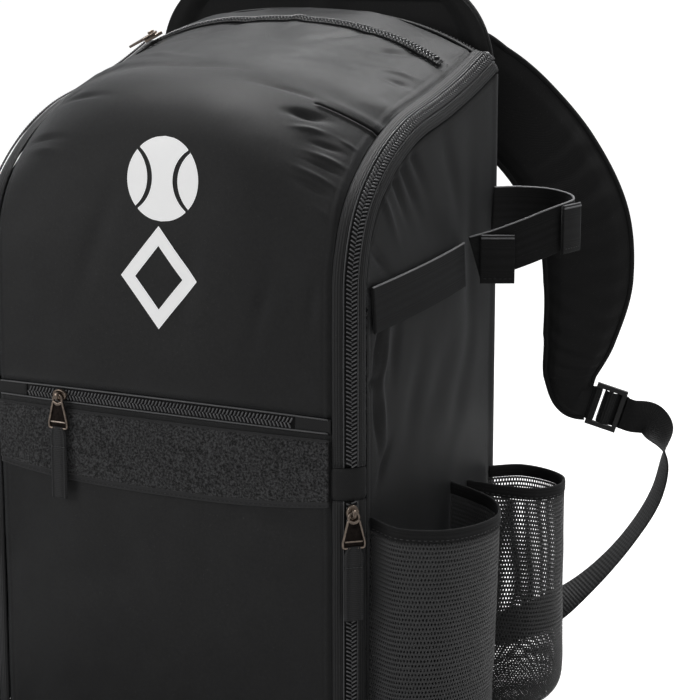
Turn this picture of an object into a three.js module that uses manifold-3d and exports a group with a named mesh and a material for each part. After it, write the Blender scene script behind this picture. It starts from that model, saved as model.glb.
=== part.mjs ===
// A soft baseball backpack: a fabric shell closed by a zip over its top, with a fuzzy strip across the
// front, mesh pockets and stretch straps on both sides, and two padded shoulder straps.
// Millimetres. +Z up, the front faces -Y, the wearer's back is at +Y, +X is the bag's right-hand side in
// the photograph. The origin is the middle of the base, on the floor.
import * as THREE from "three";
import { mergeVertices } from "three/addons/utils/BufferGeometryUtils.js";
import Module from "manifold-3d";

const wasm = await Module();
wasm.setup();

// Driving sizes of the shell
const seamHalfWidth = 134; // from the centre line to the seam where the front meets a corner
const cornerRadius = 17; // upright corners and the edge all round the lid
const frontDepth = 118; // from the origin to the front face
const backDepth = 118; // from the origin to the outer face of the padded back
const backHeight = 528; // top of the padded back
const backThickness = 11;
const wallThickness = 2;
const baseThickness = 3;
const gap = 0.35; // between pieces that are sewn or lie together
const seatGap = 0.5; // between curved pieces that lie together
const sideBulge = 7;
const frontBulge = 6;

// Heights on the front
const loopStripBottom = 191;
const loopStripHeight = 45;
const loopStripThickness = 1.6;
const loopStripSag = 6;
const frontZipGap = 4; // from the loop strip up to the front zip
const zipTapeWidth = 10;
const zipTapeThickness = 1.2;
const coilWidth = 5.6;
const coilHeight = 2.2;
const frontZipEndWidth = 26;
const stopPatchHeight = 22;
const stopPatchBottom = 196;
const stopPatchThickness = 1.8;
const frontSliderFromEnd = 32; // from the zip's left end, where it stands closed
const topZipAt = 0.9; // share of the way over the front and lid
const topZipHalf = 126;
const topSliderFromEnd = 16;
const topTapeWidth = 14;

// Pockets
const pocketRimHeight = 9;
const pocketRimThickness = 2.2;
const meshThickness = 1.2;
const sidePocketTop = 182;
const sidePocketReach = 56;
const sidePocketFront = -98;
const sidePocketRear = 14;
const sidePocketSag = 7;
const sleeveTop = 176;
const sleeveReach = 61;
const sleeveFront = 42;
const sleeveRear = 88;
const sleeveSag = 4;
const pocketFloor = 6;

// Stretch straps
const bandWidth = 31;
const bandThickness = 1.8;
const bandStartHeight = 320;
const bandRise = 13;
const bandFront = -96;
const bandMeet = 52;
const bandOverlap = 18; // how far the first strap ends before the place where the two meet
const loopHold = 20; // how far before that place the loop strap still follows the side
const loopStrapRise = 24;
const loopStrapReach = 62;
const frontTabAt = 0.11; // share of the way along the loop strap
const rearTabAt = 0.42;
const strapTabWidth = 24;
const strapTabHeight = 34;
const strapTabThickness = 2.2;

// Zip sliders and pullers
const sliderLength = 12;
const sliderWidth = 9;
const sliderThickness = 2.4;
const archWidth = 2.6;
const archThickness = 1.3;
const pullerThickness = 1.8;
const pullerTopWidth = 9.6;
const pullerBottomWidth = 15.5;
const pullerLength = 24;
const eyeGap = 0.45; // between the puller's top bar and the arch over it
const eyeHalfWidth = 2.3;
const pullTabWidth = 13;
const pullTabLength = 49;
const pullTabThickness = 2.4;

// Shoulder straps
const backInset = 10; // the padded back is narrower than the shell on each side
const backShoulder = 78;
const backFootRadius = 14;
const strapWidth = 68;
const strapThickness = 13;
const strapTopSpacing = 58;
const strapTopHeight = 490;
const strapLowHeight = 207;
const strapSpread = 181;
const strapReach = 72;
const webbingWidth = 25;
const webbingThickness = 1.6;
const webbingStraight = 7; // at each end, before it bends
const lockWidth = 33;
const lockLength = 24;
const lockThickness = 4.4;
const anchorHeight = 40;
const anchorSpacing = 118;
const anchorWidth = 34;
const anchorThickness = 3;
const handleSpacing = 74;
const handleRise = 36;
const handleWidth = 20;
const handleThickness = 4;

// Worked out from the sizes above
const halfWidth = seamHalfWidth + cornerRadius;
const backHalfWidth = halfWidth - backInset;
const lidRear = backDepth - backThickness - 2 * gap - cornerRadius;
const wallBottom = baseThickness + gap;
const loopStripTop = loopStripBottom + loopStripHeight;
const frontZipHeight = loopStripTop + frontZipGap + zipTapeWidth / 2;
const lowerZipTop = stopPatchBottom - gap;
const mainZipBottom = stopPatchBottom + stopPatchHeight + gap;

// Side profile of the shell, front bottom to rear top. y is a share of the depth on that side of the
// origin (-1 the front, 1 the lid's rear edge), z a share of the back's height. The edge columns hold
// the line of the corner seams, the middle columns the fuller line halfway between them.
const profile = [
  { edgeY: -1, edgeZ: 0.0, middleY: -1, middleZ: 0.0 },
  { edgeY: -1, edgeZ: 0.22, middleY: -1.03, middleZ: 0.22 },
  { edgeY: -1, edgeZ: 0.44, middleY: -1.045, middleZ: 0.44 },
  { edgeY: -1, edgeZ: 0.58, middleY: -1.04, middleZ: 0.6 },
  { edgeY: -0.985, edgeZ: 0.665, middleY: -1.02, middleZ: 0.72 },
  { edgeY: -0.87, edgeZ: 0.735, middleY: -0.955, middleZ: 0.815 },
  { edgeY: -0.63, edgeZ: 0.79, middleY: -0.77, middleZ: 0.872 },
  { edgeY: -0.3, edgeZ: 0.83, middleY: -0.44, middleZ: 0.9 },
  { edgeY: 0.2, edgeZ: 0.857, middleY: 0.1, middleZ: 0.923 },
  { edgeY: 0.62, edgeZ: 0.879, middleY: 0.6, middleZ: 0.941 },
  { edgeY: 1, edgeZ: 0.904, middleY: 1, middleZ: 0.955 },
];

// Soft folds in the front and lid. x is a share of the seam half width, at a share of the length over
// the front and lid; run is the fold's direction in degrees from +X; length, width and depth are
// shares of the seam half width. A depth below 0 is a raised fold.
const folds = [
  { x: 0.72, at: 0.715, run: 18, length: 0.26, width: 0.06, depth: 0.03 },
  { x: 0.8, at: 0.66, run: 28, length: 0.2, width: 0.05, depth: 0.022 },
  { x: 0.84, at: 0.61, run: 36, length: 0.2, width: 0.05, depth: 0.018 },
  { x: 0.8, at: 0.69, run: 24, length: 0.2, width: 0.045, depth: -0.015 },
  { x: -0.72, at: 0.715, run: -18, length: 0.26, width: 0.06, depth: 0.03 },
  { x: -0.82, at: 0.65, run: -30, length: 0.2, width: 0.05, depth: 0.02 },
  { x: 0.1, at: 0.73, run: 2, length: 0.6, width: 0.1, depth: 0.012 },
  { x: -0.3, at: 0.86, run: 60, length: 0.4, width: 0.09, depth: 0.014 },
];

const material = {
  fabric: { color: 0x1b1c1e, roughness: 0.62, metalness: 0 },
  padding: { color: 0x151617, roughness: 0.8, metalness: 0 },
  fuzz: { color: 0x2b2c2e, roughness: 0.95, metalness: 0 },
  tape: { color: 0x1d1e20, roughness: 0.75, metalness: 0 },
  coil: { color: 0x2a2b2d, roughness: 0.35, metalness: 0 },
  mesh: { color: 0x1a1b1c, roughness: 0.7, metalness: 0 },
  binding: { color: 0x121314, roughness: 0.8, metalness: 0 },
  elastic: { color: 0x141516, roughness: 0.85, metalness: 0 },
  webbing: { color: 0x161718, roughness: 0.7, metalness: 0 },
  bronze: { color: 0x5b5048, roughness: 0.38, metalness: 0.9 },
  plastic: { color: 0x101011, roughness: 0.45, metalness: 0 },
};

const bag = new THREE.Group();

// Six times the volume a mesh encloses, below 0 where its faces point inwards.
function signedVolume(geometry) {
  const position = geometry.getAttribute("position");
  const index = geometry.index ? geometry.index.array : Array.from({ length: position.count }, (_, i) => i);
  const corners = [new THREE.Vector3(), new THREE.Vector3(), new THREE.Vector3()];
  let volume = 0;
  for (let i = 0; i < index.length; i += 3) {
    corners.forEach((corner, k) => corner.fromBufferAttribute(position, index[i + k]));
    volume += corners[0].dot(corners[1].cross(corners[2]));
  }
  return volume;
}

function turnedOver(geometry) {
  const count = geometry.getAttribute("position").count;
  const index = geometry.index ? Array.from(geometry.index.array) : Array.from({ length: count }, (_, i) => i);
  for (let i = 0; i < index.length; i += 3) [index[i + 1], index[i + 2]] = [index[i + 2], index[i + 1]];
  const copy = geometry.clone();
  copy.setIndex(index);
  return copy;
}

const facingOut = (geometry) => (signedVolume(geometry) < 0 ? turnedOver(geometry) : geometry);

function add(name, geometry, look) {
  const mesh = new THREE.Mesh(geometry, new THREE.MeshStandardMaterial(material[look]));
  mesh.name = name;
  bag.add(mesh);
  return mesh;
}

const vec = (x, y, z) => new THREE.Vector3(x, y, z);
const lerp = (a, b, share) => a + (b - a) * share;
const clamp = (value, low, high) => Math.min(Math.max(value, low), high);

function geometryOf(points, triangles) {
  const geometry = new THREE.BufferGeometry();
  const positions = points.flatMap((p) => [p.x, p.y, p.z]);
  geometry.setAttribute("position", new THREE.Float32BufferAttribute(positions, 3));
  geometry.setIndex(triangles);
  return geometry;
}

// The same piece on the other side of the bag.
function mirrored(geometry) {
  return turnedOver(geometry.clone().scale(-1, 1, 1));
}

// A curved sheet with a thickness: surface(u, v), u and v from 0 to 1, gives its outer face, which
// stands to the left of u and v taken as x and y. The inner face lies one thickness behind it.
function sheet(surface, columns, rows, thickness) {
  const outer = [];
  const inner = [];
  const step = 1e-3;
  for (let j = 0; j <= rows; j++) {
    for (let i = 0; i <= columns; i++) {
      const u = i / columns;
      const v = j / rows;
      const p = surface(u, v);
      const along = surface(Math.min(u + step, 1), v).sub(surface(Math.max(u - step, 0), v));
      const up = surface(u, Math.min(v + step, 1)).sub(surface(u, Math.max(v - step, 0)));
      const normal = along.cross(up).normalize();
      outer.push(p);
      inner.push(p.clone().addScaledVector(normal, -thickness));
    }
  }
  const wide = columns + 1;
  const count = outer.length;
  const triangles = [];
  for (let j = 0; j < rows; j++) {
    for (let i = 0; i < columns; i++) {
      const a = j * wide + i;
      const [b, c, d] = [a + 1, a + wide + 1, a + wide];
      triangles.push(a, b, c, a, c, d);
      triangles.push(count + a, count + c, count + b, count + a, count + d, count + c);
    }
  }
  const edge = [];
  for (let i = 0; i < columns; i++) edge.push(i);
  for (let j = 0; j < rows; j++) edge.push(j * wide + columns);
  for (let i = columns; i > 0; i--) edge.push(rows * wide + i);
  for (let j = rows; j > 0; j--) edge.push(j * wide);
  edge.forEach((a, k) => {
    const b = edge[(k + 1) % edge.length];
    triangles.push(a, count + a, b, b, count + a, count + b);
  });
  return facingOut(geometryOf(outer.concat(inner), triangles));
}

// A solid through closed rings of an equal, even count of points, where each point has its opposite on
// the ring's other face, so that the flat ends are strips.
function loft(rings) {
  const sides = rings[0].length;
  const points = rings.flat();
  const triangles = [];
  for (let r = 0; r + 1 < rings.length; r++) {
    for (let k = 0; k < sides; k++) {
      const a = r * sides + k;
      const b = r * sides + ((k + 1) % sides);
      triangles.push(a, b, b + sides, a, b + sides, a + sides);
    }
  }
  const last = (rings.length - 1) * sides;
  for (let k = 0; k + 1 < sides / 2; k++) {
    const [a, b, c, d] = [k, k + 1, sides - 2 - k, sides - 1 - k];
    triangles.push(a, c, b, a, d, c);
    triangles.push(last + a, last + b, last + c, last + a, last + c, last + d);
  }
  return facingOut(geometryOf(points, triangles));
}

// Half-section outlines, as shares of half the width and half the thickness.
const flatSection = [[-1, -1], [1, -1], [1, 1], [-1, 1]];
const softSection = [[-1, -0.35], [-0.9, -0.9], [0, -1], [0.9, -0.9], [1, -0.35],
  [1, 0.35], [0.9, 0.9], [0, 1], [-0.9, 0.9], [-1, 0.35]];

// A flat band along a route. across(t) is the direction of its width, and the width may change.
function band(route, across, width, thickness, steps, section = flatSection) {
  const rings = [];
  const widthAt = typeof width === "function" ? width : () => width;
  for (let i = 0; i <= steps; i++) {
    const t = i / steps;
    const centre = route.getPoint(t);
    const along = route.getTangent(t).normalize();
    const side = across(t).clone();
    side.addScaledVector(along, -side.dot(along)).normalize();
    const out = along.clone().cross(side);
    rings.push(section.map(([w, h]) => centre.clone()
      .addScaledVector(side, w * widthAt(t) / 2)
      .addScaledVector(out, h * thickness / 2)));
  }
  return loft(rings);
}

const curveOf = (points) => new THREE.CatmullRomCurve3(points, false, "centripetal");

// Side profiles as curves in the plane of the bag's depth (x of the point) and height (y of it).
const depthOf = (share) => (share < 0 ? frontDepth : lidRear) * share;
const edgeCurve = curveOf(profile.map((r) => vec(depthOf(r.edgeY), r.edgeZ * backHeight, 0)));
const middleCurve = curveOf(profile.map((r) => vec(depthOf(r.middleY), r.middleZ * backHeight, 0)));

// The fabric face of the front and lid without folds: x across, t along the profile.
function fullness(x) {
  return 1 - Math.pow(Math.min(Math.abs(x) / seamHalfWidth, 1), 2.6);
}

function plainFront(x, t) {
  const edge = edgeCurve.getPoint(t);
  const middle = middleCurve.getPoint(t);
  const share = fullness(x);
  return vec(x, lerp(edge.x, middle.x, share), lerp(edge.y, middle.y, share));
}

function foldDepth(x, t) {
  let depth = 0;
  for (const fold of folds) {
    const angle = THREE.MathUtils.degToRad(fold.run);
    const dx = x / seamHalfWidth - fold.x;
    const dt = (t - fold.at) * lidLength / seamHalfWidth;
    const along = (dx * Math.cos(angle) + dt * Math.sin(angle)) / fold.length;
    const over = (-dx * Math.sin(angle) + dt * Math.cos(angle)) / fold.width;
    depth += fold.depth * seamHalfWidth * Math.exp(-along * along * 2 - over * over * 2);
  }
  const seamShare = 1 - Math.pow(Math.abs(x) / seamHalfWidth, 12);
  return depth * clamp(seamShare, 0, 1);
}

const lidLength = middleCurve.getLength();

function front(x, t) {
  const p = plainFront(x, t);
  const depth = foldDepth(x, t);
  if (Math.abs(depth) < 1e-4) return p;
  const along = plainFront(x, Math.min(t + 1e-3, 1)).sub(plainFront(x, Math.max(t - 1e-3, 0)));
  const normal = vec(1, 0, 0).cross(along).normalize();
  return p.addScaledVector(normal, -depth);
}

// The share t of the profile at which its edge reaches a height, on the upright part of the front.
function shareAtHeight(height) {
  let low = 0;
  let high = 0.4;
  for (let k = 0; k < 40; k++) {
    const t = (low + high) / 2;
    if (edgeCurve.getPoint(t).y < height) low = t;
    else high = t;
  }
  return (low + high) / 2;
}

function lidNormal(x, t) {
  const across = front(x + 1, t).sub(front(x - 1, t));
  const along = front(x, Math.min(t + 1e-3, 1)).sub(front(x, Math.max(t - 1e-3, 0)));
  return across.cross(along).normalize();
}

// A piece of the front's face between two heights, or up to the lid's rear edge.
function frontPiece(bottom, top, left, right, columns, rows, thickness, lift = 0, sag = 0) {
  const low = shareAtHeight(bottom);
  const high = top === "rear" ? 1 - 2 * gap / lidLength : shareAtHeight(top);
  const surface = (u, v) => {
    const x = lerp(left, right, u);
    const t = lerp(low, high, v);
    const p = front(x, t);
    p.y -= lift;
    p.z -= sag * (1 - v) * fullness(x);
    return p;
  };
  return sheet(surface, columns, rows, thickness);
}

// The rounded edge that runs from the front seams to the side panels, over the lid and across its
// rear. A station is a point of the seam with the direction out of the lid and the way up from it.
function seamStation(t) {
  const p = edgeCurve.getPoint(t);
  const tangent = edgeCurve.getTangent(t);
  return { at: vec(seamHalfWidth, p.x, p.y), out: vec(1, 0, 0), up: vec(0, -tangent.y, tangent.x) };
}

function roundedEdgePoint(station, angle, lift = 0) {
  const radius = cornerRadius + lift;
  return station.at.clone()
    .addScaledVector(station.up, -cornerRadius + radius * Math.cos(angle))
    .addScaledVector(station.out, radius * Math.sin(angle));
}

const cornerTurns = 4;
const seamSteps = 16;
const rearSteps = 8;

// Stations from a height on the right front seam, over the lid, to the same height on the left.
function seamStations(bottom) {
  const start = shareAtHeight(bottom);
  const right = [];
  for (let i = 0; i <= seamSteps; i++) right.push(seamStation(lerp(start, 1, i / seamSteps)));
  const lastUp = right[seamSteps].up;
  for (let i = 1; i <= cornerTurns; i++) {
    const turn = (i / cornerTurns) * Math.PI / 2;
    const up = lastUp.clone().lerp(vec(0, 0, 1), i / cornerTurns).normalize();
    right.push({ at: right[seamSteps].at.clone(), out: vec(Math.cos(turn), Math.sin(turn), 0), up });
  }
  const rear = [];
  for (let i = 1; i < rearSteps; i++) {
    const x = lerp(seamHalfWidth, -seamHalfWidth, i / rearSteps);
    rear.push({ at: plainFront(x, 1), out: vec(0, 1, 0), up: vec(0, 0, 1) });
  }
  const flip = (s) => ({ at: vec(-s.at.x, s.at.y, s.at.z), out: vec(-s.out.x, s.out.y, s.out.z), up: s.up });
  return right.concat(rear, right.map(flip).reverse());
}

const edgeMargin = Math.atan(gap / cornerRadius);

// A band on the rounded edge between two angles, as a solid standing lift above it.
function edgeBand(stations, fromAngle, toAngle, thickness, lift, arcSteps) {
  const rings = stations.map((station) => {
    const ring = [];
    for (let k = 0; k <= arcSteps; k++) {
      ring.push(roundedEdgePoint(station, lerp(fromAngle, toAngle, k / arcSteps), lift));
    }
    for (let k = arcSteps; k >= 0; k--) {
      ring.push(roundedEdgePoint(station, lerp(fromAngle, toAngle, k / arcSteps), lift - thickness));
    }
    return ring;
  });
  return loft(rings);
}

const uprightStations = (bottom, top, steps) => Array.from({ length: steps + 1 }, (_, i) =>
  seamStation(shareAtHeight(lerp(bottom, top, i / steps))));

const coilAngle = Math.PI / 4;
const coilHalfAngle = coilWidth / 2 / cornerRadius;
const quarter = Math.PI / 2;

function zipOnEdge(name, stations) {
  add(name + "_tape", edgeBand(stations, edgeMargin, quarter - edgeMargin, zipTapeThickness, 0, 3), "tape");
  const coil = edgeBand(stations, coilAngle - coilHalfAngle, coilAngle + coilHalfAngle,
    coilHeight, gap + coilHeight, 2);
  add(name + "_coil", coil, "coil");
}

// The upright face of the sides: its x at a depth y and a height z, for the right-hand side.
const sideFront = -frontDepth + cornerRadius;
const sideTop = 0.83 * backHeight;

function sideFace(y, z) {
  if (y > lidRear) {
    const over = Math.min(y - lidRear, cornerRadius);
    return seamHalfWidth + Math.sqrt(cornerRadius * cornerRadius - over * over);
  }
  const alongDepth = clamp((y - sideFront) / (lidRear - sideFront), 0, 1);
  const alongHeight = clamp(z / sideTop, 0, 1);
  return halfWidth + sideBulge * Math.sin(Math.PI * alongDepth) * Math.sin(Math.PI * alongHeight);
}

function sidePanel() {
  const bendStart = shareAtHeight(0.575 * backHeight);
  const straight = 12;
  const around = 4;
  const stations = [];
  for (let i = 0; i <= straight; i++) stations.push(seamStation(lerp(bendStart, 1, i / straight)));
  const last = stations[straight];
  for (let i = 1; i <= around; i++) {
    const turn = (i / around) * quarter;
    const up = last.up.clone().lerp(vec(0, 0, 1), i / around).normalize();
    stations.push({ at: last.at, out: vec(Math.cos(turn), Math.sin(turn), 0), up });
  }
  const tops = stations.map((station) => roundedEdgePoint(station, quarter).addScaledVector(station.up, -gap));
  const surface = (u, v) => {
    const place = u * (tops.length - 1);
    const k = Math.min(Math.floor(place), tops.length - 2);
    const top = tops[k].clone().lerp(tops[k + 1], place - k);
    const z = lerp(wallBottom, top.z, v);
    const flat = Math.max(sideFace(top.y, z) - sideFace(top.y, 0), 0);
    const ends = Math.sin(Math.PI * clamp((z - wallBottom) / (top.z - wallBottom), 0, 1));
    return vec(top.x + (top.y > lidRear ? 0 : Math.min(flat, sideBulge * ends)), top.y, z);
  };
  return sheet(surface, tops.length - 1, 9, wallThickness);
}

// A pocket bulging from the side: reach is a share of how far it stands out, along a share of the way
// from its front seam to its rear one.
const roundPocket = [
  { reach: 0, along: 0 },
  { reach: 0.42, along: -0.05 },
  { reach: 0.82, along: 0.1 },
  { reach: 1, along: 0.36 },
  { reach: 0.98, along: 0.66 },
  { reach: 0.68, along: 0.9 },
  { reach: 0.3, along: 0.99 },
  { reach: 0, along: 1 },
];
const roundSleeve = [
  { reach: 0, along: 0 },
  { reach: 0.4, along: 0.08 },
  { reach: 0.8, along: 0.26 },
  { reach: 1, along: 0.73 },
  { reach: 0.93, along: 1.22 },
  { reach: 0.62, along: 1.5 },
  { reach: 0.28, along: 1.48 },
  { reach: 0, along: 1 },
];
// How a pocket's mesh closes at the bottom: out is a share of its reach, up a share of its height.
const pocketFoot = [
  { out: 0.04, up: 0 },
  { out: 0.5, up: 0 },
  { out: 0.88, up: 0.02 },
  { out: 0.99, up: 0.1 },
  { out: 1, up: 0.3 },
  { out: 1, up: 0.65 },
  { out: 1, up: 1 },
];

function pocketPieces(shape, from, to, reach, top, sag) {
  const plan = curveOf(shape.map((r) => vec(r.reach * reach, lerp(from, to, r.along), 0)));
  const foot = curveOf(pocketFoot.map((r) => vec(r.out, r.up, 0)));
  const rimTop = (u) => top - sag * Math.sin(Math.PI * u);
  const at = (u, share, z) => {
    const p = plan.getPoint(u);
    const y = lerp(lerp(from, to, u), p.y, share);
    return vec(sideFace(clamp(y, from, to), z) + seatGap + p.x * share, y, z);
  };
  const mesh = sheet((u, v) => {
    const f = foot.getPoint(v);
    const high = rimTop(u) - pocketRimHeight - gap;
    return at(u, f.x, lerp(pocketFloor, high, f.y));
  }, 14, 8, meshThickness);
  const rim = sheet((u, v) => at(u, 1, rimTop(u) - pocketRimHeight * (1 - v)), 16, 1, pocketRimThickness);
  return { mesh, rim };
}

// Stretch straps on the side. The first runs along the side from the corner seam, the second stands
// out round whatever the tall sleeve holds and comes back to the rear corner.
const bandLift = gap + bandThickness / 2 + 0.6;

function sideBand() {
  const route = curveOf([0, 0.25, 0.5, 0.75, 1].map((share) => {
    const y = lerp(bandFront, bandMeet - bandOverlap, share);
    const z = bandStartHeight + bandRise * share;
    return vec(sideFace(y, z) + bandLift, y, z);
  }));
  return band(route, () => vec(0, 0, 1), bandWidth, bandThickness, 8);
}

// out is a share of the loop strap's reach, along a share of the way from where the two straps meet
// to the rear corner, rise a share of the loop strap's rise.
const strapLoop = [
  { out: 0.09, along: -0.38, rise: 0 },
  { out: 0.36, along: -0.14, rise: 0.22 },
  { out: 0.7, along: 0.14, rise: 0.58 },
  { out: 0.97, along: 0.51, rise: 0.92 },
  { out: 1, along: 0.99, rise: 1 },
  { out: 0.83, along: 1.44, rise: 1.06 },
  { out: 0.5, along: 1.7, rise: 1.12 },
  { out: 0.2, along: 1.52, rise: 1.16 },
  { out: 0.0, along: 0.97, rise: 1.2 },
];
const loopRoute = curveOf(strapLoop.map((row) => {
  const y = lerp(bandMeet, sleeveRear, row.along);
  const z = bandStartHeight + bandRise + 4 + loopStrapRise * row.rise;
  return vec(sideFace(clamp(y, bandMeet - loopHold, sleeveRear), z) + bandLift + loopStrapReach * row.out, y, z);
}));

const loopBand = () => band(loopRoute, () => vec(0, 0, 1), bandWidth, bandThickness, 24);

// A cloth tab lying on the outer face of the loop strap, t along the strap.
function strapTab(t, drop) {
  const centre = loopRoute.getPoint(t);
  const along = loopRoute.getTangent(t).setZ(0).normalize();
  const out = along.clone().cross(vec(0, 0, 1)).normalize();
  centre.addScaledVector(out, bandThickness / 2 + gap + 0.5 + strapTabThickness / 2);
  centre.z -= drop;
  const box = new THREE.BoxGeometry(strapTabWidth, strapTabThickness, strapTabHeight);
  const basis = new THREE.Matrix4().makeBasis(along, out.clone().negate(), vec(0, 0, 1));
  return box.applyMatrix4(basis.setPosition(centre));
}

// Solids joined into one body.
function solidOf(geometry) {
  const bare = geometry.clone();
  bare.deleteAttribute("normal");
  bare.deleteAttribute("uv");
  const merged = mergeVertices(bare, 1e-4);
  return new wasm.Manifold(new wasm.Mesh({
    numProp: 3,
    vertProperties: new Float32Array(merged.attributes.position.array),
    triVerts: new Uint32Array(merged.index.array),
  }));
}

function joined(geometries) {
  const solid = geometries.map(solidOf).reduce((all, next) => all.add(next)).getMesh();
  const geometry = new THREE.BufferGeometry();
  geometry.setAttribute("position", new THREE.Float32BufferAttribute(solid.vertProperties, 3));
  geometry.setIndex(Array.from(solid.triVerts));
  return geometry;
}

const boxAt = (wide, deep, high, x, y, z) => new THREE.BoxGeometry(wide, deep, high).translate(x, y, z);

// A slider in its own frame: x across the puller, y up the puller, z out of the bag. Its arch stands
// over the puller's top bar, whose middle is the hinge.
const hingeHeight = sliderThickness + eyeGap + pullerThickness / 2;
const archInside = pullerThickness / 2 + eyeGap;
const archTop = hingeHeight + archInside + archThickness;

function sliderBody(alongZip) {
  const [wide, long] = alongZip ? [sliderWidth, sliderLength] : [sliderLength, sliderWidth];
  const archLength = 2 * (archInside + archThickness);
  const post = archInside + archThickness / 2;
  return joined([
    boxAt(wide, long, sliderThickness, 0, 0, sliderThickness / 2),
    boxAt(archWidth, archThickness, archTop - 0.5, 0, post, (archTop + 0.5) / 2),
    boxAt(archWidth, archThickness, archTop - 0.5, 0, -post, (archTop + 0.5) / 2),
    boxAt(archWidth, archLength, archThickness, 0, 0, archTop - archThickness / 2),
  ]);
}

function pullerBody() {
  const top = pullerThickness / 2;
  const eyeEnd = -(archInside + archThickness + eyeGap * 3);
  const low = top - pullerLength;
  const plate = new THREE.Shape();
  plate.moveTo(-pullerTopWidth / 2, top);
  plate.lineTo(-pullerBottomWidth / 2, low + 1.5);
  plate.lineTo(-pullerBottomWidth / 2 + 1.5, low);
  plate.lineTo(pullerBottomWidth / 2 - 1.5, low);
  plate.lineTo(pullerBottomWidth / 2, low + 1.5);
  plate.lineTo(pullerTopWidth / 2, top);
  const eye = new THREE.Path();
  eye.moveTo(-eyeHalfWidth, -top);
  eye.lineTo(eyeHalfWidth, -top);
  eye.lineTo(eyeHalfWidth, eyeEnd);
  eye.lineTo(-eyeHalfWidth, eyeEnd);
  eye.closePath();
  plate.holes.push(eye);
  const geometry = new THREE.ExtrudeGeometry(plate, { depth: pullerThickness, bevelEnabled: false });
  return geometry.translate(0, 0, hingeHeight - pullerThickness / 2);
}

function pullTab() {
  const top = pullerThickness / 2 - pullerLength - gap;
  return boxAt(pullTabWidth, pullTabLength, pullTabThickness, 0, top - pullTabLength / 2, hingeHeight);
}

// Puts a slider, its puller and its cloth tab at a place: across, up and out are its own directions.
function placeSlider(name, place, across, up, out, alongZip, withTab) {
  const holder = new THREE.Group();
  holder.applyMatrix4(new THREE.Matrix4().makeBasis(across, up, out).setPosition(place));
  bag.add(holder);
  const pieces = [[name + "_slider", sliderBody(alongZip), "bronze"], [name + "_puller", pullerBody(), "bronze"]];
  if (withTab) pieces.push([name + "_pull_tab", pullTab(), "webbing"]);
  pieces.forEach(([title, geometry, look]) => holder.add(add(title, geometry, look)));
}

const sliderLift = gap + coilHeight + gap;

function cornerSlider(name, height, side, withTab) {
  const station = seamStation(shareAtHeight(height));
  const place = roundedEdgePoint(station, coilAngle, sliderLift);
  const out = vec(side * Math.SQRT1_2, -Math.SQRT1_2, 0);
  place.x *= side;
  placeSlider(name, place, vec(Math.SQRT1_2, side * Math.SQRT1_2, 0), vec(0, 0, 1), out, true, withTab);
}

// Flat outlines drawn across the bag, given as x and z, with a thickness in y.
function upright(shape, depth, rear, bevel) {
  const geometry = new THREE.ExtrudeGeometry(shape, {
    depth: depth - 2 * bevel, bevelEnabled: true, bevelThickness: bevel, bevelSize: bevel,
    bevelOffset: -bevel, bevelSegments: 1, curveSegments: 6,
  });
  geometry.rotateX(quarter);
  return geometry.translate(0, rear - bevel, 0);
}

function backPanel() {
  const half = backHalfWidth;
  const shoulder = backHeight - backShoulder;
  const shape = new THREE.Shape();
  shape.moveTo(-half + backFootRadius, wallBottom);
  shape.lineTo(half - backFootRadius, wallBottom);
  shape.quadraticCurveTo(half, wallBottom, half, wallBottom + backFootRadius);
  shape.lineTo(half, shoulder);
  shape.bezierCurveTo(half, backHeight - backShoulder * 0.3, half * 0.8, backHeight, half * 0.45, backHeight);
  shape.lineTo(-half * 0.45, backHeight);
  shape.bezierCurveTo(-half * 0.8, backHeight, -half, backHeight - backShoulder * 0.3, -half, shoulder);
  shape.lineTo(-half, wallBottom + backFootRadius);
  shape.quadraticCurveTo(-half, wallBottom, -half + backFootRadius, wallBottom);
  return upright(shape, backThickness, backDepth, 2.5);
}

function basePanel() {
  const r = cornerRadius;
  const rear = backDepth - 2;
  const shape = new THREE.Shape();
  shape.moveTo(-halfWidth + r, -frontDepth);
  shape.lineTo(halfWidth - r, -frontDepth);
  shape.absarc(halfWidth - r, -frontDepth + r, r, -quarter, 0);
  shape.lineTo(halfWidth, rear - r);
  shape.absarc(halfWidth - r, rear - r, r, 0, quarter);
  shape.lineTo(-halfWidth + r, rear);
  shape.absarc(-halfWidth + r, rear - r, r, quarter, 2 * quarter);
  shape.lineTo(-halfWidth, -frontDepth + r);
  shape.absarc(-halfWidth + r, -frontDepth + r, r, 2 * quarter, 3 * quarter);
  return new THREE.ExtrudeGeometry(shape, { depth: baseThickness, bevelEnabled: false, curveSegments: 6 });
}

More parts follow.
